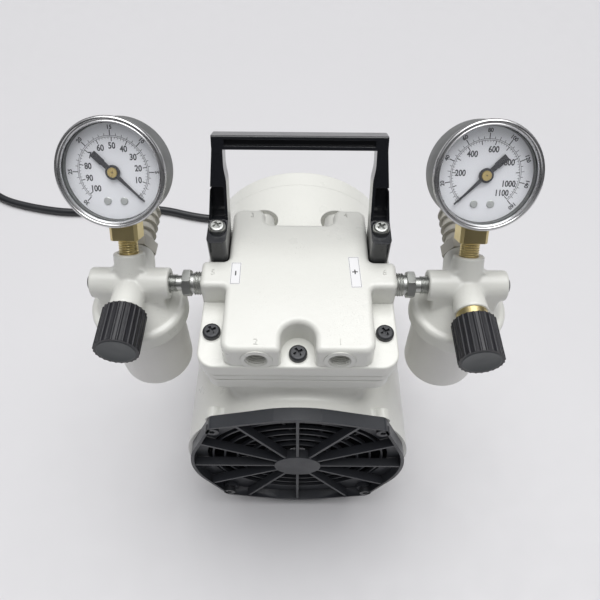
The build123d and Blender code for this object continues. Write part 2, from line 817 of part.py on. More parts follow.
def plate(bottom_z, height, width, holes_through):
    """One plate of the head stack, with soft edges and clearance holes for the head screws."""
    with BuildPart() as stack_plate:
        with BuildSketch(Plane.XY.offset(bottom_z)):
            with Locations((0, head_y)):
                RectangleRounded(width, plate_d, plate_corner)
        extrude(amount=height)
        fillet(stack_plate.edges().group_by(Axis.Z)[0], plate_edge)
        fillet(stack_plate.edges().group_by(Axis.Z)[-1], plate_edge)
        with BuildSketch(Plane.XY.offset(bottom_z)) as screw_holes:
            with Locations(*holes_through):
                Circle(head_screw_r + fit)
            with Locations(*handle_screws_xy):
                Circle(handle_screw_r + fit)
        extrude(screw_holes.sketch, amount=height, mode=Mode.SUBTRACT)
    return stack_plate


with BuildPart() as base_plate:
    add(plate(neck_top_z, base_plate_h, base_plate_w, head_screw_points).part)
    with Locations((0, head_y, neck_top_z)):
        Cylinder(chamber_r, base_plate_h, align=(Align.CENTER, Align.CENTER, Align.MIN), mode=Mode.SUBTRACT)
        Cylinder(
            diaphragm_r + fit, diaphragm_h, align=(Align.CENTER, Align.CENTER, Align.MIN), mode=Mode.SUBTRACT
        )
save(base_plate.part, "base_plate")

with BuildPart() as valve_plate:
    add(plate(valve_plate_z, valve_plate_h, valve_plate_w, head_screw_points).part)
    with BuildSketch(Plane.XY.offset(valve_plate_z)):
        with Locations((-valve_hole_x, head_y), (valve_hole_x, head_y)):
            Circle(valve_hole_r)
    extrude(amount=valve_plate_h, mode=Mode.SUBTRACT)
save(valve_plate.part, "valve_plate")

with BuildPart() as valve_flaps:
    with BuildSketch(Plane.XY.offset(valve_plate_z - flap_h)):
        with Locations((-valve_hole_x, head_y)):
            SlotOverall(flap_l, flap_w, rotation=90)
    extrude(amount=flap_h)
    with BuildSketch(Plane.XY.offset(cover_z)):
        with Locations((valve_hole_x, head_y)):
            SlotOverall(flap_l, flap_w, rotation=90)
    extrude(amount=flap_h)
save(valve_flaps.part, "valve_flaps")

# =====================================================================
# Head cover: flange, raised block with notches, side bosses, ports, ducts
# =====================================================================
port_faces = []
for side in (-1, 1):
    port_faces.append((facing_front(head_front_y, x=side * port_x, z=port_z), head_d / 2 - duct_half_y))
    port_faces.append((facing_back(head_rear_y, x=side * port_x, z=port_z), head_d / 2 - duct_half_y))

with BuildPart() as cover_block:
    with BuildSketch(Plane.XY.offset(cover_z)):
        with Locations((0, head_y)):
            RectangleRounded(head_w, head_d, block_corner)
            Rectangle(2 * boss_out_x, boss_w)
        with Locations((0, head_front_y)):
            SlotOverall(2 * front_notch_depth, 2 * front_notch_r, rotation=90, mode=Mode.SUBTRACT)
        with Locations((0, head_rear_y)):
            Rectangle(2 * rear_notch_half, 2 * rear_notch_depth, mode=Mode.SUBTRACT)
    extrude(amount=cover_h)
    corner_edges = cover_block.edges().filter_by(Axis.Z)
    outer_corners = corner_edges.filter_by(lambda e: abs(abs(e.center().X) - boss_out_x) < 0.1)
    boss_roots = corner_edges.filter_by(lambda e: abs(abs(e.center().X) - head_w / 2) < 0.1).filter_by(
        lambda e: abs(e.center().Y - head_y) < boss_w
    )
    rear_roots = corner_edges.filter_by(lambda e: abs(e.center().X) < rear_notch_half + 0.1).filter_by(
        lambda e: e.center().Y > head_y
    )
    fillet(outer_corners, cover_edge)
    fillet(boss_roots, cover_edge)
    fillet(rear_roots, rear_notch_edge)
    front_notch_corners = cover_block.edges().filter_by(Axis.Z).filter_by(
        lambda e: abs(e.center().X) < front_notch_r + 0.1 and e.center().Y < head_front_y + 0.1
    )
    fillet(front_notch_corners, front_notch_edge)
    fillet(cover_block.edges().group_by(Axis.Z)[-1], cover_edge)

with BuildPart() as head_cover:
    with BuildSketch(Plane.XY.offset(cover_z)):
        with Locations((0, head_y)):
            RectangleRounded(flange_w, flange_d, flange_corner)
    extrude(amount=flange_h)
    fillet(head_cover.edges().group_by(Axis.Z)[0], plate_edge)
    fillet(head_cover.edges().group_by(Axis.Z)[-1], plate_edge)
    add(cover_block.part)
    for port_face, port_depth in port_faces:
        disc(port_face, spot_r, spot_proud)
        port_bore = port_depth + spot_proud + bore_beyond
        disc(port_face.offset(spot_proud), port_mouth_r, -port_bore, Mode.SUBTRACT)
    for side in (-1, 1):
        disc(facing_out(boss_out_x, side), npt4_r + fit, -nipple_engage - bore_beyond, Mode.SUBTRACT)
        side_bore = boss_out_x - duct_out_x + bore_beyond
        disc(facing_out(boss_out_x, side), nipple_neck8_r, -side_bore, Mode.SUBTRACT)
    with BuildSketch(Plane.XY.offset(cover_z)):
        for side in (-1, 1):
            with Locations((side * (duct_in_x + duct_out_x) / 2, head_y)):
                RectangleRounded(duct_out_x - duct_in_x, 2 * duct_half_y, duct_corner)
    extrude(amount=duct_roof_z - cover_z, mode=Mode.SUBTRACT)
    with BuildSketch(Plane.XY.offset(cover_z)):
        with Locations(*head_screw_points):
            Circle(head_screw_r + fit)
        with Locations(*handle_screws_xy):
            Circle(handle_screw_r + fit)
    extrude(amount=flange_h, mode=Mode.SUBTRACT)
save(head_cover.part, "head_cover")

ear_set = screw(
    ear_screws, flange_top_z, head_screw_r, ear_screw_length, head_screw_head_r, head_screw_head_h
)
notch_set = screw(
    notch_screws, flange_top_z, head_screw_r, notch_screw_length, head_screw_head_r, head_screw_head_h
)
with BuildPart() as head_screws:
    add(ear_set)
    add(notch_set)
save(head_screws.part, "head_screws")

# =====================================================================
# Handle: two feet on the flange, leaning legs with pockets, grooved bar
# =====================================================================
handle_plane = Plane(
    origin=(0, head_y + handle_pivot_y, flange_top_z + handle_foot_h),
    x_dir=(1, 0, 0),
    z_dir=(0, -math.cos(math.radians(handle_lean)), math.sin(math.radians(handle_lean))),
)
foot_in_x = head_w / 2 + gap
foot_out_x = foot_in_x + handle_foot_w
slim_in_x = handle_top_half - handle_slim_w
handle_screw_z = flange_top_z + handle_foot_h
with BuildPart() as handle:
    with BuildSketch(Plane.XY.offset(flange_top_z)):
        for side in (-1, 1):
            with Locations((side * (foot_in_x + foot_out_x) / 2, handle_foot_y + handle_foot_d / 2)):
                RectangleRounded(handle_foot_w, handle_foot_d, handle_foot_corner)
    extrude(amount=handle_foot_h)
    with BuildSketch(handle_plane):
        with BuildLine():
            Polyline(
                (0, handle_rise - handle_bar),
                (slim_in_x, handle_rise - handle_bar),
                (slim_in_x, handle_step_high),
            )
            Spline(
                (slim_in_x, handle_step_high),
                (foot_in_x, handle_step_low),
                tangents=((0, -1), (0, -1)),
            )
            Polyline(
                (foot_in_x, handle_step_low),
                (foot_in_x, -handle_root),
                (foot_out_x, -handle_root),
                (foot_out_x, 0),
                (handle_top_half, handle_rise - handle_bar),
                (handle_top_half, handle_rise),
                (0, handle_rise),
                (0, handle_rise - handle_bar),
            )
        make_face()
        mirror(about=Plane.YZ)
    extrude(amount=-handle_depth)
    fillet(handle.edges().group_by(Axis.Z)[-1], handle_edge)
    # Pocket above each screw, and the groove along the front of the bar
    with BuildSketch(handle_plane):
        for side in (-1, 1):
            with Locations((side * (foot_in_x + foot_out_x) / 2, pocket_h / 2 + pocket_floor)):
                Rectangle(pocket_w, pocket_h)
    extrude(amount=-pocket_depth, mode=Mode.SUBTRACT)
    with BuildSketch(handle_plane):
        with Locations((0, handle_rise - handle_bar / 2)):
            Rectangle(2 * (slim_in_x - groove_end), groove_w)
    extrude(amount=-groove_depth, mode=Mode.SUBTRACT)
    with BuildSketch(Plane.XY.offset(handle_screw_z)):
        with Locations(*handle_screws_xy):
            Circle(handle_screw_r + fit)
    extrude(amount=-handle_foot_h, mode=Mode.SUBTRACT)
save(handle.part, "handle")

handle_screw_set = screw(
    handle_screws_xy,
    handle_screw_z,
    handle_screw_r,
    handle_screw_length,
    handle_screw_head_r,
    handle_screw_head_h,
)
save(handle_screw_set, "handle_screws")


# =====================================================================
# Both sides: nipple, manifold, plug, barb, jar, filter, regulator
# =====================================================================
def make_nipple(side):
    """Reducing hex nipple along X, from the head's side port into the manifold."""
    with BuildPart() as nipple:
        x = boss_out_x - nipple_engage
        disc(facing_out(x, side), npt4_r, nipple_engage + nipple_thread4)
        x = boss_out_x + nipple_thread4
        disc(facing_out(x, side), nipple_neck4_r, nipple_neck4)
        x += nipple_neck4
        with BuildSketch(facing_out(x, side)) as hex_face:
            RegularPolygon(nipple_hex_flats / 2, 6, major_radius=False)
        extrude(hex_face.sketch, amount=nipple_hex_w)
        x += nipple_hex_w
        disc(facing_out(x, side), nipple_neck8_r, nipple_neck8)
        x += nipple_neck8
        disc(facing_out(x, side), npt8_r, nipple_thread8 + nipple_engage)
        nipple_length = 2 * nipple_engage + nipple_open
        disc(facing_out(boss_out_x - nipple_engage, side), nipple_bore_r, nipple_length, Mode.SUBTRACT)
    return nipple.part


def gauge_axis_plane(side, height):
    """Plane across the leaning gauge stem, at a height along it from the port axis."""
    lean = math.radians(gauge_lean)
    up = Vector(0, math.sin(lean), math.cos(lean))
    return Plane(
        origin=Vector(side * manifold_x, head_y, port_z) + up * height,
        x_dir=(1, 0, 0),
        z_dir=up,
    )


def dial_plane(side, depth):
    """Plane that faces out of the dial, at a depth ahead of the stem axis; local y is up the dial."""
    lean = math.radians(gauge_lean)
    up = Vector(0, math.sin(lean), math.cos(lean))
    out = Vector(0, -math.cos(lean), math.sin(lean))
    return Plane(
        origin=Vector(side * manifold_x, head_y, port_z) + up * gauge_rise + out * depth,
        x_dir=(1, 0, 0),
        z_dir=out,
    )


def make_manifold(side):
    """Cast body: cross of bosses over a domed collar that takes the jar."""
    x = side * manifold_x
    with BuildPart() as manifold:
        with Locations((x, head_y, collar_z)):
            Cylinder(collar_r, collar_h, align=(Align.CENTER, Align.CENTER, Align.MIN))
            fillet(manifold.edges().filter_by(GeomType.CIRCLE).group_by(Axis.Z)[-1], collar_edge)
        with Locations((x, head_y, collar_top_z)):
            Cone(dome_base_r, dome_top_r, dome_h, align=(Align.CENTER, Align.CENTER, Align.MIN))
        disc(facing_out(manifold_in_x, side), cross_r, 2 * cross_half)
        with BuildSketch(Plane.XY.offset(collar_top_z - skirt_sink)) as skirt:
            with Locations((x, head_y)):
                Rectangle(2 * skirt_half, 2 * cross_r)
        extrude(skirt.sketch, amount=port_z - collar_top_z + skirt_sink)
        with BuildSketch(facing_front(head_y, x=x, z=port_z)) as knob_root:
            Circle(knob_boss_root_r)
        with BuildSketch(facing_front(knob_boss_y, x=x, z=port_z)) as knob_end:
            Circle(knob_boss_end_r)
        loft([knob_root.sketch, knob_end.sketch])
        with BuildSketch(facing_back(head_y, x=x, z=port_z)) as barb_root:
            Circle(rear_boss_root_r)
        with BuildSketch(facing_back(rear_boss_y, x=x, z=port_z)) as barb_end:
            Circle(rear_boss_end_r)
        loft([barb_root.sketch, barb_end.sketch])
        disc(gauge_axis_plane(side, 0), gauge_boss_r, gauge_boss_l)
        # Bores: nipple, plug, gauge stem, regulator, barb, jar mouth and the passage to it
        disc(facing_out(manifold_in_x, side), npt8_r + fit, nipple_engage + bore_beyond, Mode.SUBTRACT)
        disc(facing_out(manifold_out_x, side), npt8_r + fit, -plug_engage - bore_beyond, Mode.SUBTRACT)
        disc(facing_out(manifold_in_x, side), passage_r, 2 * cross_half, Mode.SUBTRACT)
        disc(gauge_axis_plane(side, gauge_boss_l), npt8_r + fit, -stem_engage - bore_beyond, Mode.SUBTRACT)
        bonnet_bore = bonnet_engage + bonnet_chamber
        disc(facing_front(knob_boss_y, x=x, z=port_z), bonnet_thread_r + fit, -bonnet_bore, Mode.SUBTRACT)
        disc(facing_back(rear_boss_y, x=x, z=port_z), npt8_r + fit, -stem_engage - bore_beyond, Mode.SUBTRACT)
        with Locations((x, head_y, collar_z)):
            Cylinder(
                jar_cavity_r,
                jar_cavity_top_z - collar_z,
                align=(Align.CENTER, Align.CENTER, Align.MIN),
                mode=Mode.SUBTRACT,
            )
            Cylinder(
                filter_stud_r + fit,
                port_z - collar_z,
                align=(Align.CENTER, Align.CENTER, Align.MIN),
                mode=Mode.SUBTRACT,
            )
    save(manifold.part, f"manifold_{names[side]}")


def make_plug(side):
    """Threaded plug in the outer end of the cross."""
    with BuildPart() as end_plug:
        disc(facing_out(manifold_out_x - plug_engage, side), npt8_r, plug_engage)
        disc(facing_out(manifold_out_x, side), plug_head_r, plug_head_h)
        fillet(end_plug.edges().filter_by(GeomType.CIRCLE).group_by(Axis.X)[-1 if side > 0 else 0], plug_edge)
    return end_plug.part


def make_barb(side):
    """Hose barb: threaded root in the manifold, hex, and a row of ribs that lean forwards."""
    x = side * manifold_x
    with BuildPart() as barb:
        disc(facing_back(rear_boss_y - stem_engage, x=x, z=port_z), npt8_r, stem_engage)
        with BuildSketch(facing_back(rear_boss_y, x=x, z=port_z)) as hex_face:
            RegularPolygon(barb_hex_flats / 2, 6, major_radius=False)
        extrude(hex_face.sketch, amount=barb_hex_w)
        first_y = rear_boss_y + barb_hex_w
        disc(facing_back(first_y, x=x, z=port_z), barb_root_r, barb_pitch * barb_ribs)
        for rib in range(barb_ribs):
            rib_y = first_y + rib * barb_pitch + barb_first_rib
            with BuildSketch(facing_back(rib_y, x=x, z=port_z)) as rib_root:
                Circle(barb_rib_r)
            with BuildSketch(facing_back(rib_y + barb_rib_l, x=x, z=port_z)) as rib_tip:
                Circle(barb_root_r)
            loft([rib_root.sketch, rib_tip.sketch])
        disc(facing_back(rear_boss_y - stem_engage, x=x, z=port_z), barb_bore_r, body_length, Mode.SUBTRACT)
    save(barb.part, f"hose_barb_{names[side]}")


def make_jar(side):
    """Moisture jar: slightly tapered cup with a rounded base, open at the top."""
    with BuildPart() as jar:
        with Locations((side * manifold_x, head_y, jar_rim_z)):
            Cone(jar_base_r, jar_top_r, jar_height, align=(Align.CENTER, Align.CENTER, Align.MAX))
        fillet(jar.edges().filter_by(GeomType.CIRCLE).group_by(Axis.Z)[0], jar_edge_r)
        offset(amount=-jar_wall, openings=jar.faces().sort_by(Axis.Z)[-1])
    save(jar.part, f"jar_{names[side]}")


def make_seal(side):
    """Flat seal above the jar's rim."""
    with BuildPart() as seal:
        with Locations((side * manifold_x, head_y, jar_rim_z)):
            Cylinder(jar_top_r, jar_seal_h, align=(Align.CENTER, Align.CENTER, Align.MIN))
            Cylinder(
                jar_top_r - jar_seal_w,
                jar_seal_h,
                align=(Align.CENTER, Align.CENTER, Align.MIN),
                mode=Mode.SUBTRACT,
            )
    return seal.part


def make_filter(side):
    """Filter element on its stud, hanging from the manifold into the jar."""
    with BuildPart() as element:
        with Locations((side * manifold_x, head_y, jar_cavity_top_z)):
            Cylinder(filter_r, filter_l, align=(Align.CENTER, Align.CENTER, Align.MAX))
            fillet(element.edges().filter_by(GeomType.CIRCLE).group_by(Axis.Z)[0], filter_edge)
            Cylinder(filter_stud_r, filter_stud_l, align=(Align.CENTER, Align.CENTER, Align.MIN))
    return element.part


def make_regulator(side):
    """Brass bonnet, knob with ribs, adjusting stem with its spring seat, and the spring."""
    x = side * manifold_x
    knob_back_y = knob_boss_y - knob_gap[side]
    bonnet_front_y = knob_boss_y - bonnet_front
    seat_y = knob_boss_y + bonnet_engage - seat_h - knob_gap[side]
    with BuildPart() as bonnet:
        disc(facing_front(knob_boss_y + bonnet_engage, x=x, z=port_z), bonnet_thread_r, bonnet_engage)
        disc(facing_front(knob_boss_y, x=x, z=port_z), bonnet_r, bonnet_front)
        disc(
            facing_front(knob_boss_y + bonnet_engage, x=x, z=port_z),
            bonnet_thread_r - bonnet_wall,
            bonnet_engage + bonnet_front - bonnet_end,
            Mode.SUBTRACT,
        )
        end_wall = facing_front(bonnet_front_y + bonnet_end, x=x, z=port_z)
        disc(end_wall, stem_r + fit, bonnet_end, Mode.SUBTRACT)
    save(bonnet.part, f"bonnet_{names[side]}")

    with BuildPart() as knob:
        with BuildSketch(facing_front(knob_back_y, x=x, z=port_z)) as knob_face:
            Circle(knob_r - knob_rib_r / 2)
            with PolarLocations(knob_r - knob_rib_r, knob_ribs):
                Circle(knob_rib_r)
        extrude(knob_face.sketch, amount=knob_length)
        disc(
            facing_front(knob_back_y, x=x, z=port_z),
            knob_r - knob_skirt_wall - knob_rib_r / 2,
            knob_skirt_depth,
            Mode.SUBTRACT,
        )
    save(knob.part, f"knob_{names[side]}")

    with BuildPart() as stem:
        knob_floor_y = knob_back_y - knob_skirt_depth
        disc(facing_back(knob_floor_y, x=x, z=port_z), stem_r, seat_y - knob_floor_y)
        disc(facing_back(seat_y, x=x, z=port_z), seat_r, seat_h)
    save(stem.part, f"adjusting_stem_{names[side]}")


def make_gauge(side):
    """Dial gauge on a leaning brass stem."""
    window_back = gauge_front - bezel_lip - window_h
    dial_face = window_back - dial_depth
    with BuildPart() as case:
        back = dial_plane(side, -gauge_back)
        disc(back, gauge_case_r, window_back + gauge_back)
        case_rims = case.edges().filter_by(GeomType.CIRCLE).sort_by(Axis(back.origin, back.z_dir))
        fillet(case_rims[0], gauge_case_edge)
        disc(
            dial_plane(side, dial_face - dial_h), gauge_case_r - gauge_case_wall, body_length, Mode.SUBTRACT
        )
        disc(
            dial_plane(side, -gauge_back + gauge_case_wall),
            gauge_case_r - gauge_case_wall - dial_ledge,
            body_length,
            Mode.SUBTRACT,
        )
        with BuildSketch(gauge_axis_plane(side, gauge_rise - gauge_case_r - stem_slot_low)) as stem_slot:
            Rectangle(stem_block + 2 * fit, stem_block + 2 * fit)
        extrude(stem_slot.sketch, amount=stem_slot_low + stem_block_in + gap, mode=Mode.SUBTRACT)
    save(case.part, f"gauge_case_{names[side]}")

    with BuildPart() as bezel:
        skirt_plane = dial_plane(side, gauge_front - bezel_skirt)
        disc(skirt_plane, bezel_r, bezel_skirt)
        disc(skirt_plane, gauge_case_r + fit, bezel_skirt - bezel_lip, Mode.SUBTRACT)
        disc(skirt_plane, bezel_open_r, bezel_skirt, Mode.SUBTRACT)
        fillet(bezel.edges().filter_by(GeomType.CIRCLE).sort_by(SortBy.RADIUS)[-2:], bezel_edge)
    save(bezel.part, f"gauge_bezel_{names[side]}")

    with BuildPart() as dial:
        disc(dial_plane(side, dial_face - dial_h), gauge_case_r - gauge_case_wall - fit, dial_h)
        disc(dial_plane(side, dial_face - dial_h), pointer_pin_r + fit, dial_h, Mode.SUBTRACT)
    save(dial.part, f"dial_{names[side]}")

    with BuildPart() as pointer:
        with BuildSketch(dial_plane(side, dial_face + pointer_gap)) as blade:
            Circle(pointer_hub_r)
            with BuildLine():
                Polyline(
                    (0, -pointer_root_w / 2),
                    (pointer_tip, -pointer_tip_w / 2),
                    (pointer_tip, pointer_tip_w / 2),
                    (0, pointer_root_w / 2),
                    close=True,
                )
            make_face()
            with Locations((-pointer_tail / 2, 0)):
                Rectangle(pointer_tail, pointer_neck_w)
            with Locations((-pointer_tail * 0.75, 0)):
                Rectangle(pointer_tail / 2, pointer_tail_w)
        turned = blade.sketch.rotate(
            Axis(dial_plane(side, 0).origin, dial_plane(side, 0).z_dir), zero_angle[side]
        )
        extrude(turned, amount=pointer_h)
        pin_start = dial_face - dial_h - pointer_pin_l
        disc(dial_plane(side, pin_start), pointer_pin_r, dial_face + pointer_gap - pin_start)
        disc(dial_plane(side, dial_face + pointer_gap + pointer_h), pointer_cap_r, pointer_cap_h)
    save(pointer.part, f"pointer_{names[side]}")

    block_low = gauge_rise - gauge_case_r - stem_block_l + stem_block_in
    with BuildPart() as gauge_stem:
        with BuildSketch(gauge_axis_plane(side, block_low)) as block_face:
            Rectangle(stem_block, stem_block)
        extrude(block_face.sketch, amount=stem_block_l)
        block_corners = gauge_stem.edges().filter_by(lambda e: abs(e.length - stem_block_l) < fit)
        chamfer(block_corners, stem_block_chamfer)
        thread_start = gauge_boss_l - stem_engage
        disc(gauge_axis_plane(side, thread_start), npt8_r, block_low - thread_start)
    save(gauge_stem.part, f"gauge_stem_{names[side]}")


def make_window(side):
    """Clear window that the bezel holds on the rim of the case."""
    with BuildPart() as window:
        disc(dial_plane(side, gauge_front - bezel_lip - window_h), gauge_case_r, window_h)
    return window.part


names = {-1: "left", 1: "right"}
knob_gap = {-1: knob_gap_left, 1: knob_gap_right}
zero_angle = {-1: -dial_zero, 1: 180 + dial_zero}
for side in (-1, 1):
    make_manifold(side)
    make_barb(side)
    make_jar(side)
    make_regulator(side)
    make_gauge(side)

for make_piece, pair_name in (
    (make_nipple, "nipples"),
    (make_plug, "side_plugs"),
    (make_seal, "jar_seals"),
    (make_filter, "filter_elements"),
    (make_window, "gauge_windows"),
):
    with BuildPart() as pair:
        add(make_piece(-1))
        add(make_piece(1))
    save(pair.part, pair_name)

# =====================================================================
# Power cord: strain relief, free run, coil and plug
# =====================================================================
cord_r = cord_d / 2
exit_y = rear_face_y + relief_l
with BuildPart() as strain_relief:
    disc(facing_back(rear_face_y, x=cord_exit_x, z=cord_exit_z), relief_flange_r, relief_flange_h)
    with BuildSketch(facing_back(rear_face_y, x=cord_exit_x, z=cord_exit_z)) as relief_root:
        Circle(relief_root_r)
    with BuildSketch(facing_back(exit_y, x=cord_exit_x, z=cord_exit_z)) as relief_end:
        Circle(relief_end_r)
    loft([relief_root.sketch, relief_end.sketch])
save(strain_relief.part, "strain_relief")

cord_route = [
    (cord_exit_x, exit_y, cord_exit_z),
    (cord_exit_x, exit_y + 25, cord_exit_z),
    (cord_exit_x - 4, exit_y + 47, cord_exit_z - 9),
    (cord_exit_x - 15, exit_y + 65, cord_exit_z - 24),
    (cord_exit_x - 38, exit_y + 76, cord_r + 1),
    (cord_exit_x - 70, exit_y + 75, cord_r),
    (cord_exit_x - 104, exit_y + 79, cord_r),
    (cord_exit_x - 142, exit_y + 91, cord_r),
    (cord_exit_x - 188, exit_y + 93, cord_r),
    (cord_exit_x - 240, exit_y + 83, cord_r),
    (cord_exit_x - 292, exit_y + 92, cord_r),
    (cord_exit_x - 333, exit_y + 106, cord_r),
    (cord_exit_x - 359, exit_y + 132, cord_r),
]
cord_radii = []
for before, here, after in zip(cord_route, cord_route[1:], cord_route[2:]):
    arriving = Vector(*here) - Vector(*before)
    leaving = Vector(*after) - Vector(*here)
    turn = math.radians(arriving.get_angle(leaving))
    cord_radii.append(0.45 * min(arriving.length, leaving.length) / math.tan(turn / 2))
print("cord radii", [round(r, 1) for r in cord_radii])
with BuildPart() as cord:
    with BuildLine() as cord_path:
        FilletPolyline(*cord_route, radius=cord_radii)
    with BuildSketch(facing_back(exit_y, x=cord_exit_x, z=cord_exit_z)) as cord_section:
        Circle(cord_r)
    sweep(cord_section.sketch, path=cord_path.wires()[0])
save(cord.part, "cord")
cord_length = cord_path.wires()[0].length
cord_volume_ratio = cord.part.volume / (math.pi * cord_r**2 * cord_length)
print("cord run", round(cord_length, 1), "volume ratio", round(cord_volume_ratio, 5))

# The coil lies on the table. Its outermost turn starts where the free run ends.
coil_out_r = coil_mid_r + coil_turns_across * cord_r
run_end = Vector(*cord_route[-1])
run_way = (run_end - Vector(*cord_route[-2])).normalized()
coil_centre = run_end + Vector(-run_way.Y, run_way.X, 0) * (coil_out_r - cord_r)
with BuildPart() as cord_coil:
    with Locations((coil_centre.X, coil_centre.Y, 0)):
        Cylinder(coil_out_r, coil_height, align=(Align.CENTER, Align.CENTER, Align.MIN))
        Cylinder(
            coil_mid_r - coil_turns_across * cord_r,
            coil_height,
            align=(Align.CENTER, Align.CENTER, Align.MIN),
            mode=Mode.SUBTRACT,
        )
    fillet(cord_coil.edges().filter_by(GeomType.CIRCLE), coil_edge)
save(cord_coil.part, "cord_coil")

plug_x = coil_centre.X - coil_mid_r
plug_y = coil_centre.Y - math.sqrt(coil_out_r**2 - coil_mid_r**2) + plug_into_coil
with BuildPart() as power_plug:
    disc(facing_front(plug_y, x=plug_x, z=plug_h / 2), plug_nose_r, plug_nose_l)
    with BuildSketch(facing_front(plug_y - plug_nose_l, x=plug_x, z=plug_h / 2)) as plug_back:
        RectangleRounded(plug_back_w, plug_back_h, plug_corner)
    with BuildSketch(facing_front(plug_y - plug_nose_l - plug_l, x=plug_x, z=plug_h / 2)) as plug_front:
        RectangleRounded(plug_w, plug_h, plug_corner)
    loft([plug_back.sketch, plug_front.sketch])
    with BuildSketch(facing_front(plug_y - plug_nose_l - plug_l, x=plug_x, z=plug_h / 2)):
        with Locations((-blade_gap / 2, 0), (blade_gap / 2, 0)):
            Rectangle(blade_h, blade_w)
    extrude(amount=blade_l)
save(power_plug.part, "power_plug")
print("coil centre", coil_centre, "plug", plug_x, plug_y)
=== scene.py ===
import math

import bmesh
import bpy
from mathutils import Matrix, Vector
from mathutils.geometry import convex_hull_2d, intersect_line_line_2d


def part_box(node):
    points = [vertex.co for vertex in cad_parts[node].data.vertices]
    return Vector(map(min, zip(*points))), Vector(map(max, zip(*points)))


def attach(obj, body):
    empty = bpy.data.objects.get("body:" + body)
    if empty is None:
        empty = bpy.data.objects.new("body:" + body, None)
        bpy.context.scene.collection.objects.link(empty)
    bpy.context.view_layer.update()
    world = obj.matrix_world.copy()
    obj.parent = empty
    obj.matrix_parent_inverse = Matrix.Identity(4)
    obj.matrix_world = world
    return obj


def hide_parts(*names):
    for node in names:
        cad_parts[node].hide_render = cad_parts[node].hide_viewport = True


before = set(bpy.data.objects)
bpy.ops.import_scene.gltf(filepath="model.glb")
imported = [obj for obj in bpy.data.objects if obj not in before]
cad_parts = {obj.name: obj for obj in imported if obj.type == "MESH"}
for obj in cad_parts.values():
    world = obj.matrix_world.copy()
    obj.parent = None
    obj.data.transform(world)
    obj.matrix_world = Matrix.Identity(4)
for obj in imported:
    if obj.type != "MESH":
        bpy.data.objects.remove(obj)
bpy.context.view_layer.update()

bpy.context.scene.view_settings.view_transform = "Standard"

# ---------------------------------------------------------------------
# Camera: stands above the front edge of the table and looks down over
# the pump head.
# ---------------------------------------------------------------------
camera_place = Vector((0.0008, -0.2423, 0.459))
camera_tilt = math.radians(36.4)
camera_roll = math.radians(0.48)
camera_data = bpy.data.cameras.new("bench_camera")
camera_data.sensor_width = 36.0
camera_data.lens = 33.8
camera = bpy.data.objects.new("bench_camera", camera_data)
bpy.context.scene.collection.objects.link(camera)
camera.matrix_world = (
    Matrix.Translation(camera_place)
    @ Matrix.Rotation(camera_tilt, 4, "X")
    @ Matrix.Rotation(camera_roll, 4, "Z")
)
bpy.context.scene.camera = camera


# ---------------------------------------------------------------------
# Power lead: black PVC mains lead of 8 mm. It leaves the rear bell in a
# moulded strain relief, falls to the table, runs off to the left and is
# wound into a coil that ends in the plug.
# ---------------------------------------------------------------------
def make_group(name, inputs, outputs):
    """A shader node group with named sockets, and its two end nodes."""
    group = bpy.data.node_groups.new(name, "ShaderNodeTree")
    for label, kind, value in inputs:
        group.interface.new_socket(label, in_out="INPUT", socket_type=kind).default_value = value
    for label, kind in outputs:
        group.interface.new_socket(label, in_out="OUTPUT", socket_type=kind)
    return group, group.nodes.new("NodeGroupInput"), group.nodes.new("NodeGroupOutput")


def join(tree, *wires):
    """Link sockets. A wire is a node and its output, then a node and its input."""
    for source, output, target, entry in wires:
        tree.links.new(source.outputs[output], target.inputs[entry])


def set_inputs(node, **values):
    """Set a node's inputs. An underscore in a label stands for a space."""
    for label, value in values.items():
        node.inputs[label.replace("_", " ")].default_value = value


def add_group(tree, group, **values):
    """Use a node group in a material, with its inputs set."""
    node = tree.nodes.new("ShaderNodeGroup")
    node.node_tree = group
    set_inputs(node, **values)
    return node


# Value that drifts over a surface, for uneven gloss
drift, drift_in, drift_out = make_group(
    "drifting_value",
    [("Scale", "NodeSocketFloat", 60.0), ("Low", "NodeSocketFloat", 0.3), ("High", "NodeSocketFloat", 0.5)],
    [("Value", "NodeSocketFloat")],
)
drift_place = drift.nodes.new("ShaderNodeTexCoord")
drift_noise = drift.nodes.new("ShaderNodeTexNoise")
set_inputs(drift_noise, Detail=4.0)
drift_range = drift.nodes.new("ShaderNodeMapRange")
set_inputs(drift_range, From_Min=0.32, From_Max=0.68)
join(
    drift,
    (drift_place, "Object", drift_noise, "Vector"),
    (drift_in, "Scale", drift_noise, "Scale"),
    (drift_noise, "Fac", drift_range, "Value"),
    (drift_in, "Low", drift_range, "To Min"),
    (drift_in, "High", drift_range, "To Max"),
    (drift_range, "Result", drift_out, "Value"),
)

# Two close colours in soft clouds
clouds, clouds_in, clouds_out = make_group(
    "clouded_colour",
    [
        ("Scale", "NodeSocketFloat", 20.0),
        ("First", "NodeSocketColor", (0.5, 0.5, 0.5, 1)),
        ("Second", "NodeSocketColor", (0.6, 0.6, 0.6, 1)),
    ],
    [("Colour", "NodeSocketColor")],
)
clouds_place = clouds.nodes.new("ShaderNodeTexCoord")
clouds_noise = clouds.nodes.new("ShaderNodeTexNoise")
set_inputs(clouds_noise, Detail=5.0)
clouds_mix = clouds.nodes.new("ShaderNodeMix")
clouds_mix.data_type = "RGBA"
join(
    clouds,
    (clouds_place, "Object", clouds_noise, "Vector"),
    (clouds_in, "Scale", clouds_noise, "Scale"),
    (clouds_noise, "Fac", clouds_mix, "Factor"),
    (clouds_in, "First", clouds_mix, "A"),
    (clouds_in, "Second", clouds_mix, "B"),
    (clouds_mix, "Result", clouds_out, "Colour"),
)

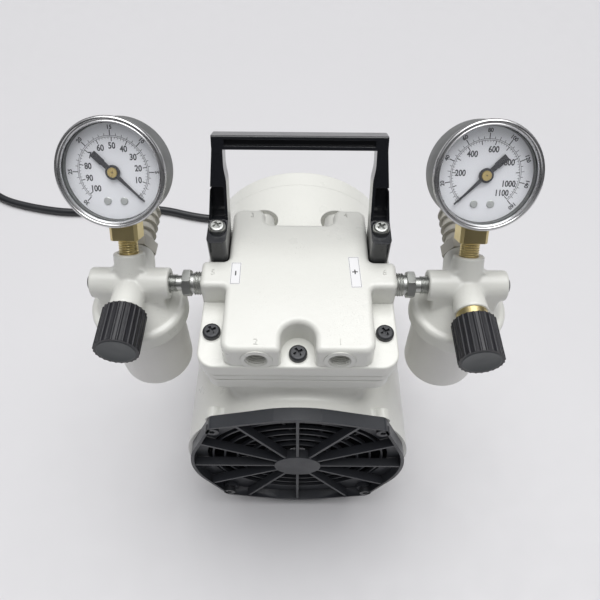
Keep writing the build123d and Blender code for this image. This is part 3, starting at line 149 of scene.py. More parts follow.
# Height of a skin: broad waves with finer grain on them
skin, skin_in, skin_out = make_group(
    "skin_height",
    [
        ("Scale", "NodeSocketFloat", 400.0),
        ("Fine Scale", "NodeSocketFloat", 1500.0),
        ("Fine Share", "NodeSocketFloat", 0.4),
    ],
    [("Height", "NodeSocketFloat")],
)
skin_place = skin.nodes.new("ShaderNodeTexCoord")
skin_broad = skin.nodes.new("ShaderNodeTexNoise")
skin_fine = skin.nodes.new("ShaderNodeTexNoise")
skin_mix = skin.nodes.new("ShaderNodeMix")
for texture, scale_name in ((skin_broad, "Scale"), (skin_fine, "Fine Scale")):
    join(skin, (skin_place, "Object", texture, "Vector"), (skin_in, scale_name, texture, "Scale"))
join(
    skin,
    (skin_in, "Fine Share", skin_mix, "Factor"),
    (skin_broad, "Fac", skin_mix, "A"),
    (skin_fine, "Fac", skin_mix, "B"),
    (skin_mix, "Result", skin_out, "Height"),
)


def finish(name, colours, gloss, cloud_scale=20.0, gloss_scale=60.0, metallic=0.0, **constants):
    """A Principled material whose colour drifts between two colours and its roughness between two values."""
    material = bpy.data.materials.new(name)
    material.use_nodes = True
    tree = material.node_tree
    shader = tree.nodes["Principled BSDF"]
    colour = add_group(tree, clouds, Scale=cloud_scale, First=(*colours[0], 1), Second=(*colours[1], 1))
    roughness = add_group(tree, drift, Scale=gloss_scale, Low=gloss[0], High=gloss[1])
    join(tree, (colour, "Colour", shader, "Base Color"), (roughness, "Value", shader, "Roughness"))
    set_inputs(shader, Metallic=metallic, **constants)
    return material


def roughen(material, scale, fine_scale, fine_share, height, edge=0.0):
    """Give a material its fine relief, height in metres, and soften its sharp edges over a small radius."""
    tree = material.node_tree
    relief = add_group(tree, skin, Scale=scale, Fine_Scale=fine_scale, Fine_Share=fine_share)
    bump = tree.nodes.new("ShaderNodeBump")
    set_inputs(bump, Distance=height, Strength=1.0)
    join(tree, (relief, "Height", bump, "Height"), (bump, "Normal", tree.nodes["Principled BSDF"], "Normal"))
    if edge:
        soft_edge = tree.nodes.new("ShaderNodeBevel")
        soft_edge.samples = 4
        set_inputs(soft_edge, Radius=edge)
        join(tree, (soft_edge, "Normal", bump, "Normal"))


def dress(material, *node_names):
    """Put a material on CAD nodes."""
    for node_name in node_names:
        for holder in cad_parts[node_name].material_slots:
            holder.material = material


def place_piece(name, mesh, material, body, sharp=math.radians(32)):
    """Put a finished mesh in the scene as a piece that rides on a body."""
    for face in mesh.polygons:
        face.use_smooth = True
    mesh.set_sharp_from_angle(angle=sharp)
    mesh.materials.clear()
    mesh.materials.append(material)
    piece = bpy.data.objects.new(name, mesh)
    bpy.context.scene.collection.objects.link(piece)
    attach(piece, body)
    return piece


def place_shape(name, shape, material, body):
    """Put a finished bmesh in the scene as a piece."""
    mesh = bpy.data.meshes.new(name)
    shape.to_mesh(mesh)
    shape.free()
    return place_piece(name, mesh, material, body)


def place_rings(name, rows, start, along, material, body, segments=64, closed=False):
    """A piece of rings round an axis. A row is (distance, radius), or gives that for an angle."""
    ahead = Vector(along).normalized()
    side = Vector((1, 0, 0)) if abs(ahead.x) < 0.9 else Vector((0, 1, 0))
    side = (side - ahead * side.dot(ahead)).normalized()
    other = ahead.cross(side)
    shape = bmesh.new()
    rings = []
    for row in rows:
        ring = []
        for step in range(segments):
            angle = 2 * math.pi * step / segments
            distance, radius = row(angle) if callable(row) else row
            out = side * math.cos(angle) + other * math.sin(angle)
            ring.append(shape.verts.new(Vector(start) + ahead * distance + out * radius))
        rings.append(ring)
    pairs = list(zip(rings, rings[1:])) + ([(rings[-1], rings[0])] if closed else [])
    for low, high in pairs:
        for step in range(segments):
            after = (step + 1) % segments
            shape.faces.new((low[step], low[after], high[after], high[step]))
    if not closed:
        shape.faces.new(reversed(rings[0]))
        shape.faces.new(rings[-1])
    bmesh.ops.remove_doubles(shape, verts=shape.verts, dist=1e-7)
    bmesh.ops.recalc_face_normals(shape, faces=shape.faces)
    return place_shape(name, shape, material, body)


def box_centre(node_name):
    """The middle of a CAD node's box."""
    low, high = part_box(node_name)
    return (Vector(low) + Vector(high)) / 2


lead_diameter = 0.008
lead_r = lead_diameter / 2
lead_exit = (-0.013, 0.1287, 0.039)
lead_route = [
    lead_exit,
    (-0.013, 0.1537, 0.039),
    (-0.017, 0.1757, 0.030),
    (-0.028, 0.1937, 0.015),
    (-0.051, 0.2047, 0.005),
    (-0.083, 0.2037, 0.004),
    (-0.117, 0.2077, 0.004),
    (-0.155, 0.2197, 0.004),
    (-0.201, 0.2217, 0.004),
    (-0.253, 0.2117, 0.004),
    (-0.305, 0.2207, 0.004),
    (-0.346, 0.2347, 0.004),
    (-0.372, 0.2607, 0.004),
]
coil_centre = box_centre("cord_coil")
coil_rings = [0.052, 0.044, 0.036, 0.040, 0.048]
coil_steps = [300, 660, 960, 1260]  # degrees of the coil at which a turn starts to step to the next
lift_start, step_length = 945, 60
layer_low, layer_high = lead_r, lead_r + 0.0072
coil_start, coil_length, point_gap = 45, 1575, 15


def ease(value, low, high):
    """0 before low, 1 after high, and smooth between."""
    part = min(1.0, max(0.0, (value - low) / (high - low)))
    return part * part * (3 - 2 * part)


# Three turns on the table from the outside in, then two on top of them
# from the inside out. Each turn steps to the next over a sixth of a turn.
coil_turns = []
for angle in range(point_gap, coil_length + point_gap, point_gap):
    radius = coil_rings[0]
    for ring, next_ring, step_start in zip(coil_rings, coil_rings[1:], coil_steps):
        radius += (next_ring - ring) * ease(angle, step_start, step_start + step_length)
    height = layer_low + (layer_high - layer_low) * ease(angle, lift_start, lift_start + step_length)
    way = math.radians(coil_start + angle)
    coil_turns.append(
        (coil_centre.x + radius * math.cos(way), coil_centre.y + radius * math.sin(way), height)
    )
plug_centre, plug_end = box_centre("power_plug"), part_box("power_plug")[1][1]
lead_tail = [
    (plug_centre.x - 0.001, plug_end + 0.014, layer_high),
    (plug_centre.x, plug_end + 0.004, layer_high - 0.001),
    (plug_centre.x, plug_end - 0.008, plug_centre.z),
]
lead_points = lead_route + coil_turns + lead_tail
lead_data = bpy.data.curves.new("power_lead", "CURVE")
lead_data.dimensions = "3D"
lead_data.bevel_depth = lead_r
lead_data.bevel_resolution = 5
lead_data.resolution_u = 6
lead_data.use_fill_caps = True
lead_spline = lead_data.splines.new("NURBS")
lead_spline.points.add(len(lead_points) - 1)
for point, place in zip(lead_spline.points, lead_points):
    point.co = (*place, 1)
lead_spline.order_u = 3
lead_spline.use_endpoint_u = True
lead = bpy.data.objects.new("power_lead", lead_data)
bpy.context.scene.collection.objects.link(lead)
lead_pvc = finish(
    "lead_pvc", [(0.017, 0.018, 0.021), (0.026, 0.027, 0.031)], (0.3, 0.44), cloud_scale=40.0
)
roughen(lead_pvc, 500.0, 2600.0, 0.5, 0.00006)
lead_data.materials.append(lead_pvc)
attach(lead, "pump")
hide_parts("cord", "cord_coil")

# Strain relief: a flange, then a tapering sleeve with grooves round it
relief_low, relief_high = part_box("strain_relief")
relief_centre = box_centre("strain_relief")
relief_length = relief_high[1] - relief_low[1]
flange_r, sleeve_r, sleeve_taper = 0.009, 0.0075, 0.0023
groove_count, groove_start, groove_gap, groove_depth = 5, 0.0045, 0.0036, 0.0011
relief_rows = [(0.0, flange_r), (0.0020, flange_r), (0.0026, 0.0084), (0.0026, sleeve_r)]
for groove in range(groove_count):
    for offset, drop in ((0.0, 0.0), (0.0003, groove_depth), (0.0013, groove_depth), (0.0016, 0.0)):
        distance = groove_start + groove * groove_gap + offset
        relief_rows.append((distance, sleeve_r - sleeve_taper * distance / relief_length - drop))
relief_rows += [(relief_length - 0.0006, 0.0054), (relief_length, 0.0049), (relief_length, 0.0041)]
relief = place_rings(
    "lead_strain_relief",
    relief_rows,
    (relief_centre.x, relief_low[1], relief_centre.z),
    (0, 1, 0),
    lead_pvc,
    "pump",
)
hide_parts("strain_relief")
dress(lead_pvc, "power_plug")

# ---------------------------------------------------------------------
# Table and light: pale matt table top under one broad ceiling light,
# with a soft gradient all round. Past the table the camera sees pale grey.
# ---------------------------------------------------------------------
table_half = 3.0
table_mesh = bpy.data.meshes.new("table_top")
table_corners = [(table_half * x, table_half * y, 0) for x, y in ((-1, -1), (1, -1), (1, 1), (-1, 1))]
table_mesh.from_pydata(table_corners, [], [(0, 1, 2, 3)])
table_top = bpy.data.objects.new("table_top", table_mesh)
bpy.context.scene.collection.objects.link(table_top)
table_paint = finish(
    "table_laminate", [(0.655, 0.65, 0.665), (0.675, 0.67, 0.685)], (0.5, 0.62), cloud_scale=4.0
)
table_mesh.materials.append(table_paint)

world = bpy.data.worlds.new("studio")
bpy.context.scene.world = world
world.use_nodes = True
sky = world.node_tree.nodes
sky_way = sky.new("ShaderNodeTexCoord")
sky_split = sky.new("ShaderNodeSeparateXYZ")
sky_ramp = sky.new("ShaderNodeValToRGB")
sky_ramp.color_ramp.elements[0].position = 0.3
sky_ramp.color_ramp.elements[0].color = (0.045, 0.045, 0.047, 1)
sky_ramp.color_ramp.elements[1].position = 0.9
sky_ramp.color_ramp.elements[1].color = (0.50, 0.50, 0.51, 1)
sky_rays = sky.new("ShaderNodeLightPath")
sky_seen = sky.new("ShaderNodeMath")
sky_seen.operation = "MAXIMUM"
sky_mix = sky.new("ShaderNodeMix")
sky_mix.data_type = "RGBA"
set_inputs(sky_mix, B=(0.80, 0.80, 0.815, 1))
join(
    world.node_tree,
    (sky_way, "Generated", sky_split, "Vector"),
    (sky_split, "Z", sky_ramp, "Fac"),
    (sky_rays, "Is Camera Ray", sky_seen, 0),
    (sky_rays, "Is Transmission Ray", sky_seen, 1),
    (sky_seen, "Value", sky_mix, "Factor"),
    (sky_ramp, "Color", sky_mix, "A"),
    (sky_mix, "Result", sky["Background"], "Color"),
)
set_inputs(sky["Background"], Strength=1.0)

ceiling_way = Vector((-0.06, -0.15, -1.0))
ceiling_data = bpy.data.lights.new("ceiling_light", "SUN")
ceiling_data.angle = math.radians(56)
ceiling_data.energy = 2.52
ceiling = bpy.data.objects.new("ceiling_light", ceiling_data)
bpy.context.scene.collection.objects.link(ceiling)
ceiling.rotation_euler = ceiling_way.to_track_quat("-Z", "Y").to_euler()

# ---------------------------------------------------------------------
# Motor housing and rear bell: die-cast aluminium under thick off-white
# enamel, with a faint orange-peel skin and a little shop dirt.
# ---------------------------------------------------------------------
enamel = finish(
    "white_enamel",
    [(0.765, 0.767, 0.72), (0.82, 0.822, 0.78)],
    (0.26, 0.40),
    cloud_scale=14.0,
    gloss_scale=35.0,
    Coat_Weight=0.25,
    Coat_Roughness=0.12,
)
roughen(enamel, 260.0, 1100.0, 0.35, 0.00022, edge=0.0008)

# Scattered dark specks, thicker in some places than in others
specks, specks_in, specks_out = make_group(
    "dirt_specks",
    [
        ("Scale", "NodeSocketFloat", 900.0),
        ("Amount", "NodeSocketFloat", 0.5),
        ("Clean", "NodeSocketColor", (1, 1, 1, 1)),
        ("Dirt", "NodeSocketColor", (0.4, 0.38, 0.33, 1)),
    ],
    [("Colour", "NodeSocketColor")],
)
specks_place = specks.nodes.new("ShaderNodeTexCoord")
specks_fine = specks.nodes.new("ShaderNodeTexNoise")
specks_patch = specks.nodes.new("ShaderNodeTexNoise")
set_inputs(specks_patch, Scale=30.0)
specks_cut = specks.nodes.new("ShaderNodeMapRange")
set_inputs(specks_cut, From_Min=0.64, From_Max=0.72)
specks_where = specks.nodes.new("ShaderNodeMapRange")
set_inputs(specks_where, From_Min=0.5, From_Max=0.7)
specks_both = specks.nodes.new("ShaderNodeMath")
specks_both.operation = "MULTIPLY"
specks_share = specks.nodes.new("ShaderNodeMath")
specks_share.operation = "MULTIPLY"
specks_mix = specks.nodes.new("ShaderNodeMix")
specks_mix.data_type = "RGBA"
join(
    specks,
    (specks_place, "Object", specks_fine, "Vector"),
    (specks_place, "Object", specks_patch, "Vector"),
    (specks_in, "Scale", specks_fine, "Scale"),
    (specks_fine, "Fac", specks_cut, "Value"),
    (specks_patch, "Fac", specks_where, "Value"),
    (specks_cut, "Result", specks_both, 0),
    (specks_where, "Result", specks_both, 1),
    (specks_both, "Value", specks_share, 0),
    (specks_in, "Amount", specks_share, 1),
    (specks_share, "Value", specks_mix, "Factor"),
    (specks_in, "Clean", specks_mix, "A"),
    (specks_in, "Dirt", specks_mix, "B"),
    (specks_mix, "Result", specks_out, "Colour"),
)


def speckle(material, scale, amount, dirt):
    """Lay specks of dirt over a material's colour."""
    tree = material.node_tree
    shader = tree.nodes["Principled BSDF"]
    under = shader.inputs["Base Color"].links[0].from_socket
    layer = add_group(tree, specks, Scale=scale, Amount=amount, Dirt=(*dirt, 1))
    tree.links.new(under, layer.inputs["Clean"])
    join(tree, (layer, "Colour", shader, "Base Color"))


speckle(enamel, 1300.0, 0.45, (0.36, 0.34, 0.29))


def reshape(node_name, piece_name, move, material, body):
    """A copy of a CAD mesh whose points have been moved, in place of its node."""
    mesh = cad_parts[node_name].data.copy()
    for vertex in mesh.vertices:
        vertex.co = move(vertex.co)
    piece = place_piece(piece_name, mesh, material, body)
    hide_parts(node_name)
    return piece


axis_z = 0.087
housing_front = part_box("motor_housing")[0][1]
bell_low, bell_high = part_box("rear_bell")
barrel_r = (bell_high[0] - bell_low[0]) / 2
bolt_high, bolt_head_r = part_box("guard_bolts")[1], 0.0042
bolt_x = bolt_high[0] - bolt_head_r
bolt_z = bolt_high[2] - bolt_head_r - axis_z
lug_r, lug_length = 0.0075, 0.016
lug_slim, lug_short = 0.62, 0.42
wide_edge, tight_edge = 0.013, 0.003
screw_pitch_r, screw_clear = 0.060, 0.0026
slack = 0.0001  # how near a point counts as lying on a face


def shrink_lugs(point):
    """Lugs behind the guard get slimmer and shorter, down to the barrel's own surface."""
    behind = point.y - housing_front
    centre_x = math.copysign(bolt_x, point.x)
    centre_z = axis_z + math.copysign(bolt_z, point.z - axis_z)
    aside_x, aside_z = point.x - centre_x, point.z - centre_z
    if math.hypot(aside_x, aside_z) > lug_r + slack or behind > lug_length + slack:
        return point
    out = math.hypot(point.x, point.z - axis_z)
    if out < barrel_r - 2 * slack:
        return point
    y = housing_front + behind * lug_short
    if out < barrel_r + slack / 2:
        return Vector((point.x, y, point.z))
    return Vector((centre_x + aside_x * lug_slim, y, centre_z + aside_z * lug_slim))


def square_rim(point):
    """The bell's rim turns on a small radius and leaves its back flat."""
    out = math.hypot(point.x, point.z - axis_z)
    across, along = out - (barrel_r - wide_edge), point.y - (bell_high[1] - wide_edge)
    off_rim = abs(math.hypot(across, along) - wide_edge) > 2 * slack
    if across < -slack / 10 or along < -slack / 10 or off_rim:
        return point
    quarter = math.atan2(point.z - axis_z, point.x)
    screw_way = math.pi / 4 + math.pi / 2 * math.floor(quarter / (math.pi / 2))
    screw = Vector((screw_pitch_r * math.cos(screw_way), 0, axis_z + screw_pitch_r * math.sin(screw_way)))
    if math.hypot(point.x - screw.x, point.z - screw.z) < screw_clear:
        return point
    turn = math.atan2(along, across)
    new_out = barrel_r - tight_edge + tight_edge * math.cos(turn)
    new_y = bell_high[1] - tight_edge + tight_edge * math.sin(turn)
    return Vector((point.x * new_out / out, new_y, axis_z + (point.z - axis_z) * new_out / out))


reshape("motor_housing", "housing_casting", shrink_lugs, enamel, "pump")
reshape("rear_bell", "bell_casting", square_rim, enamel, "pump")

# ---------------------------------------------------------------------
# Screws of the bell and the feet: zinc-plated steel, and the rubber feet
# that they hold.
# ---------------------------------------------------------------------
zinc = finish(
    "zinc_plate", [(0.44, 0.45, 0.43), (0.55, 0.56, 0.54)], (0.28, 0.42), cloud_scale=120.0, metallic=1.0
)
roughen(zinc, 700.0, 3000.0, 0.5, 0.00003, edge=0.0003)
dress(zinc, "bell_screws", "foot_screws", "handle_screws")
foot_rubber = finish("foot_rubber", [(0.03, 0.03, 0.03), (0.045, 0.045, 0.045)], (0.6, 0.8))
roughen(foot_rubber, 900.0, 3000.0, 0.5, 0.00008, edge=0.0004)
dress(foot_rubber, "rubber_feet", "jar_seals")

# ---------------------------------------------------------------------
# Fan guard and fan: black moulded nylon with a satin skin, and the black
# socket-head bolts in its corners.
# ---------------------------------------------------------------------
guard_nylon = finish(
    "guard_nylon", [(0.028, 0.030, 0.036), (0.042, 0.045, 0.052)], (0.34, 0.48), cloud_scale=25.0
)
roughen(guard_nylon, 450.0, 2200.0, 0.5, 0.00008, edge=0.0004)
corner_share = 0.62
flank_start, flank_share = 0.048, 0.90


def draw_in_corners(point):
    """The guard's corners stand less far out from its round rim, and its flanks are a little flat."""
    out = math.hypot(point.x, point.z - axis_z)
    share = 1.0 if out <= barrel_r else (barrel_r + (out - barrel_r) * corner_share) / out
    x, z = point.x * share, (point.z - axis_z) * share
    if abs(x) > flank_start:
        x = math.copysign(flank_start + (abs(x) - flank_start) * flank_share, x)
    return Vector((x, point.y, axis_z + z))


guard = reshape("fan_guard", "guard_moulding", draw_in_corners, guard_nylon, "pump")

# Flange at the guard's back, which shuts the corners, and the black air duct
# that runs from it into the housing round the fan
flange_opening_r, flange_depth, rim_inset = 0.0605, 0.0014, 0.0008
duct_r, duct_wall, duct_depth = 0.0702, 0.0006, 0.021
outline = [(v.co.x, v.co.z - axis_z) for v in guard.data.vertices]
outline = [Vector(outline[index]) for index in convex_hull_2d(outline)]


def outline_reach(angle):
    """Distance from the shaft to the guard's outline in one direction."""
    ray = Vector((math.cos(angle), math.sin(angle)))
    for here, there in zip(outline, outline[1:] + outline[:1]):
        hit = intersect_line_line_2d(Vector((0, 0)), ray, here, there)
        if hit:
            return hit.length
    return barrel_r


def flange_edge(distance, trim):
    return lambda angle: (distance, outline_reach(angle) - trim)


duct_rows = [
    flange_edge(0.0, rim_inset),
    (0.0, flange_opening_r),
    (flange_depth, flange_opening_r),
    (flange_depth, duct_r - duct_wall),
    (duct_depth, duct_r - duct_wall),
    (duct_depth, duct_r),
    (flange_depth, duct_r),
    flange_edge(flange_depth - 0.0002, rim_inset),
]
place_rings(
    "guard_duct",
    duct_rows,
    (0, housing_front - flange_depth, axis_z),
    (0, 1, 0),
    guard_nylon,
    "pump",
    144,
    closed=True,
)
fan_nylon = finish("fan_nylon", [(0.018, 0.018, 0.022), (0.03, 0.03, 0.034)], (0.4, 0.55))
roughen(fan_nylon, 450.0, 2200.0, 0.5, 0.00008)
dress(fan_nylon, "cooling_fan")
black_steel = finish(
    "black_oxide",
    [(0.028, 0.029, 0.033), (0.045, 0.047, 0.051)],
    (0.32, 0.46),
    cloud_scale=90.0,
    metallic=0.3,
)
roughen(black_steel, 700.0, 3000.0, 0.5, 0.00003, edge=0.0003)
dress(black_steel, "head_screws", "side_plugs")
shank_end = housing_front + lug_length * lug_short - 0.0006


def shorten_shank(point):
    return Vector((point.x, min(point.y, shank_end), point.z))


reshape("guard_bolts", "guard_corner_bolts", shorten_shank, black_steel, "pump")

# ---------------------------------------------------------------------
# Motor and crank inside the housing: laminated core, varnished copper,
# ground shaft and bearings, cast counterweight, machined rod.
# ---------------------------------------------------------------------
core_iron = finish(
    "core_iron", [(0.24, 0.24, 0.25), (0.34, 0.34, 0.35)], (0.4, 0.6), cloud_scale=80.0, metallic=0.9
)
roughen(core_iron, 300.0, 1600.0, 0.5, 0.0001)
dress(core_iron, "stator_core", "rotor", "eccentric", "counterweight")
copper = finish(
    "varnished_copper", [(0.55, 0.25, 0.12), (0.72, 0.38, 0.2)], (0.3, 0.45), cloud_scale=300.0, metallic=0.9
)
roughen(copper, 900.0, 2600.0, 0.4, 0.0004)
dress(copper, "stator_windings")
ground_steel = finish(
    "ground_steel", [(0.56, 0.56, 0.57), (0.66, 0.66, 0.67)], (0.18, 0.3), cloud_scale=200.0, metallic=1.0
)
roughen(ground_steel, 900.0, 3000.0, 0.5, 0.00002, edge=0.0003)
dress(ground_steel, "front_bearing", "rear_bearing", "motor_shaft", "crank_bearing")
dress(ground_steel, "clamp_screw", "valve_flaps")
machined_alloy = finish(
    "machined_alloy", [(0.62, 0.63, 0.64), (0.74, 0.75, 0.76)], (0.28, 0.42), cloud_scale=100.0, metallic=1.0
)
roughen(machined_alloy, 600.0, 2600.0, 0.5, 0.00005, edge=0.0004)
dress(machined_alloy, "connecting_rod", "clamp_disc")
membrane = finish("membrane_rubber", [(0.04, 0.04, 0.04), (0.06, 0.06, 0.06)], (0.55, 0.7))
roughen(membrane, 1400.0, 3000.0, 0.4, 0.0002)
dress(membrane, "diaphragm")

# ---------------------------------------------------------------------
# Head: base plate, valve plate and cover in the same enamel, threaded
# ports with raised numbers beside them, and two white stickers that carry
# a printed border and a plus or minus sign.
# ---------------------------------------------------------------------
dress(enamel, "base_plate", "valve_plate", "head_cover")
head_low, head_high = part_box("head_cover")
head_y, head_top = (head_low[1] + head_high[1]) / 2, head_high[2]
port_x, port_z = 0.022, 0.202


def letter_mesh(text, size, thickness, weight=0.0):
    """Upright letters, centred on the origin, flat on XY."""
    letters = bpy.data.curves.new("letters", "FONT")
    letters.body = text
    letters.size = size
    letters.extrude = thickness / 2
    letters.offset = weight
    letters.align_x = "CENTER"
    letters.align_y = "CENTER"
    letters.resolution_u = 3
    holder = bpy.data.objects.new("letters", letters)
    mesh = bpy.data.meshes.new_from_object(holder)
    bpy.data.objects.remove(holder)
    bpy.data.curves.remove(letters)
    return mesh


def add_mesh(shape, mesh, matrix):
    """Copy a mesh into a bmesh at a place, and drop the mesh."""
    mesh.transform(matrix)
    shape.from_mesh(mesh)
    bpy.data.meshes.remove(mesh)


def add_block(shape, centre, half, turn=0.0, matrix=Matrix.Identity(4)):
    """A box turned about its own middle, then placed."""
    made = bmesh.ops.create_cube(shape, size=2.0)
    local = Matrix.Translation(centre) @ Matrix.Rotation(turn, 4, "Z") @ Matrix.Diagonal((*half, 1))
    bmesh.ops.transform(shape, matrix=matrix @ local, verts=made["verts"])


number_size, number_height = 0.0052, 0.0006
number_shape = bmesh.new()
for number, number_x, number_y in (
    ("1", port_x, -0.0870),
    ("2", -port_x, -0.0872),
    ("3", -0.0285, 0.0040),
    ("4", 0.0285, 0.0045),
    ("5", -0.0485, -0.0413),
    ("6", 0.0485, -0.0405),
):
    add_mesh(
        number_shape,
        letter_mesh(number, number_size, number_height),
        Matrix.Translation((number_x, number_y, head_top)),
    )
place_shape("port_numbers", number_shape, enamel, "pump")


def thread_rows(length, crest, depth, pitch, ends=0.0):
    """Rows of a screw thread whose grooves run round in a helix."""
    steps = max(2, round(length / pitch * 8))

    def row_at(distance):
        def row(angle):
            phase = (distance / pitch - angle / (2 * math.pi)) % 1.0
            groove = 1 - abs(2 * phase - 1)
            fade = 1.0
            if ends:
                fade = min(1.0, distance / ends, (length - distance) / ends)
            return distance, crest - depth * groove * fade

        return row

    return [row_at(length * step / steps) for step in range(steps + 1)]


def shifted(rows, by):
    """The same rows further along the axis."""

    def moved(row):
        if callable(row):
            return lambda angle: (row(angle)[0] + by, row(angle)[1])
        return row[0] + by, row[1]

    return [moved(row) for row in rows]


port_bore_r, port_pitch, port_groove, port_thread = 0.00605, 0.00141, 0.0007, 0.0125
crest_r, back_r = port_bore_r - 0.00002, port_bore_r + 0.0004
port_rows = [(0.0007, crest_r)]
port_rows += shifted(thread_rows(port_thread, crest_r, port_groove, port_pitch, ends=0.001), 0.0008)
port_rows += [(0.0135, back_r), (0.0006, back_r)]
for side_name, side in (("left", -1), ("right", 1)):
    for face_name, face_y, way in (("front", head_low[1], 1), ("rear", head_high[1], -1)):
        place_rings(
            f"port_thread_{face_name}_{side_name}",
            port_rows,
            (side * port_x, face_y, port_z),
            (0, way, 0),
            enamel,
            "pump",
            48,
            closed=True,
        )

sticker_white = finish(
    "sticker_film", [(0.82, 0.82, 0.83), (0.87, 0.87, 0.88)], (0.35, 0.45), cloud_scale=90.0
)
sticker_ink = finish("sticker_ink", [(0.02, 0.02, 0.022), (0.035, 0.035, 0.04)], (0.4, 0.5))
film_z, film_half_h = 0.00005, 0.00007
border_half_w, border_inset, ink_z, ink_half_h = 0.00009, 0.0004, 0.00012, 0.00002
stroke_half_w, stroke_half_l = 0.00035, 0.0016
for side_name, centre, half_w, half_l, turn, mark in (
    ("left", (-0.0356, -0.0418), 0.0029, 0.0078, 0.0, "minus"),
    ("right", (0.0318, -0.0402), 0.0031, 0.0112, math.radians(2.5), "plus"),
):
    label_place = Matrix.Translation((*centre, head_top)) @ Matrix.Rotation(turn, 4, "Z")
    label = bmesh.new()
    add_block(label, (0, 0, film_z), (half_w, half_l, film_half_h), matrix=label_place)
    place_shape(f"sticker_{side_name}", label, sticker_white, "pump")
    ink = bmesh.new()
    edge_x, edge_y = half_w - border_inset, half_l - border_inset
    strokes = [((way * edge_x, 0), (border_half_w, edge_y)) for way in (-1, 1)]
    strokes += [((0, way * edge_y), (edge_x, border_half_w)) for way in (-1, 1)]
    strokes.append(((0, 0), (stroke_half_w, stroke_half_l)))
    if mark == "plus":
        strokes.append(((0, 0), (stroke_half_l, stroke_half_w)))
    for middle, half in strokes:
        add_block(ink, (*middle, ink_z), (*half, ink_half_h), matrix=label_place)
    place_shape(f"sticker_print_{side_name}", ink, sticker_ink, "pump")

# ---------------------------------------------------------------------
# Carrying handle: glossy black moulding, screwed down on both sides of
# the head.
# ---------------------------------------------------------------------
handle_gloss = finish(
    "handle_gloss",
    [(0.010, 0.011, 0.014), (0.016, 0.017, 0.021)],
    (0.12, 0.22),
    cloud_scale=30.0,
    Coat_Weight=0.25,
    Coat_Roughness=0.08,
)
roughen(handle_gloss, 160.0, 900.0, 0.3, 0.00016, edge=0.0006)
dress(handle_gloss, "handle")

# ---------------------------------------------------------------------
# Reducing nipples between head and manifolds: turned and threaded steel
# with a hexagon, zinc plated.
# ---------------------------------------------------------------------
nipple_start = head_high[0]
wide_r, wide_neck_r, slim_neck_r, slim_r = 0.00685, 0.0058, 0.0045, 0.00515
wide_thread, wide_neck, hex_width, slim_neck, slim_thread = 0.0044, 0.0019, 0.0047, 0.0036, 0.0039
hex_flats, hex_bevel = 0.0143, 0.97
wide_pitch, slim_pitch, nipple_groove = 0.00141, 0.00094, 0.0006
hidden_thread = 0.002  # the part of each thread that is inside its port


def hexagon_rows(start, width, flats):
    """Rows of a hexagon whose corners are turned down at both ends."""
    turned_r = flats / 2 * 1.01

    def corner(angle):
        return flats / 2 / math.cos((angle % (math.pi / 3)) - math.pi / 6)

    def low(angle):
        return start + (corner(angle) - turned_r) * 0.5 if corner(angle) > turned_r else start, corner(angle)

    def high(angle):
        return 2 * start + width - low(angle)[0], corner(angle)

    inner_r, end = turned_r * hex_bevel, start + width
    return [(start, inner_r), (start, turned_r), low, high, (end, turned_r), (end, inner_r)]


nipple_rows = thread_rows(wide_thread + hidden_thread, wide_r, nipple_groove, wide_pitch)
nipple_rows = shifted(nipple_rows, -hidden_thread)
at = wide_thread
nipple_rows += [(at, wide_neck_r), (at + wide_neck, wide_neck_r)]
at += wide_neck
nipple_rows += hexagon_rows(at, hex_width, hex_flats)
at += hex_width
nipple_rows += [(at, slim_neck_r), (at + slim_neck, slim_neck_r)]
at += slim_neck
nipple_rows += shifted(thread_rows(slim_thread + hidden_thread, slim_r, nipple_groove, slim_pitch), at)
for side_name, side in (("left", -1), ("right", 1)):
    nipple = place_rings(
        f"nipple_{side_name}",
        nipple_rows,
        (side * nipple_start, head_y, port_z),
        (side, 0, 0),
        zinc,
        "pump",
        96,
    )
    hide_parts("nipples")

# ---------------------------------------------------------------------
# Manifolds: sand-cast crosses under the same enamel. The casting runs
# together in soft roots where the bosses meet.
# ---------------------------------------------------------------------
for side_name in ("left", "right"):
    casting_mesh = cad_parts[f"manifold_{side_name}"].data.copy()
    casting = bpy.data.objects.new(f"manifold_casting_{side_name}", casting_mesh)
    bpy.context.scene.collection.objects.link(casting)
    voxels = casting.modifiers.new("one_skin", "REMESH")
    voxels.mode = "VOXEL"
    voxels.voxel_size = 0.0006
    soften = casting.modifiers.new("soft_roots", "SMOOTH")
    soften.factor = 0.6
    soften.iterations = 9
    cast_mesh = bpy.data.meshes.new_from_object(casting.evaluated_get(bpy.context.evaluated_depsgraph_get()))
    bpy.data.objects.remove(casting)
    manifold = place_piece(
        f"manifold_casting_{side_name}", cast_mesh, enamel, "pump", sharp=math.radians(60)
    )
    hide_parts(f"manifold_{side_name}")

# ---------------------------------------------------------------------
# Hose barbs, moisture jars and filters: grey nylon barbs, milky
# polypropylene jars, sintered filter elements with pleats.
# ---------------------------------------------------------------------
barb_nylon = finish("barb_nylon", [(0.60, 0.58, 0.52), (0.68, 0.66, 0.60)], (0.35, 0.5), cloud_scale=60.0)
roughen(barb_nylon, 500.0, 2200.0, 0.4, 0.00006, edge=0.0004)
jar_milk = finish(
    "jar_milky",
    [(0.88, 0.87, 0.84), (0.93, 0.92, 0.89)],
    (0.3, 0.42),
    cloud_scale=35.0,
    Alpha=0.92,
)
roughen(jar_milk, 120.0, 900.0, 0.3, 0.0002)
filter_felt = finish(
    "filter_element", [(0.36, 0.42, 0.48), (0.46, 0.52, 0.58)], (0.7, 0.9), cloud_scale=300.0
)
roughen(filter_felt, 1200.0, 3000.0, 0.5, 0.0003)
pleats, pleat_r, pleat_wave = 20, 0.0072, 0.0007
pleat_start, pleat_gap, pleat_rows = 0.0024, 0.0026, 9


def pleated(distance):
    """A row of the filter that runs in and out with its pleats."""
    return lambda angle: (distance, pleat_r + pleat_wave * math.cos(pleats * angle))


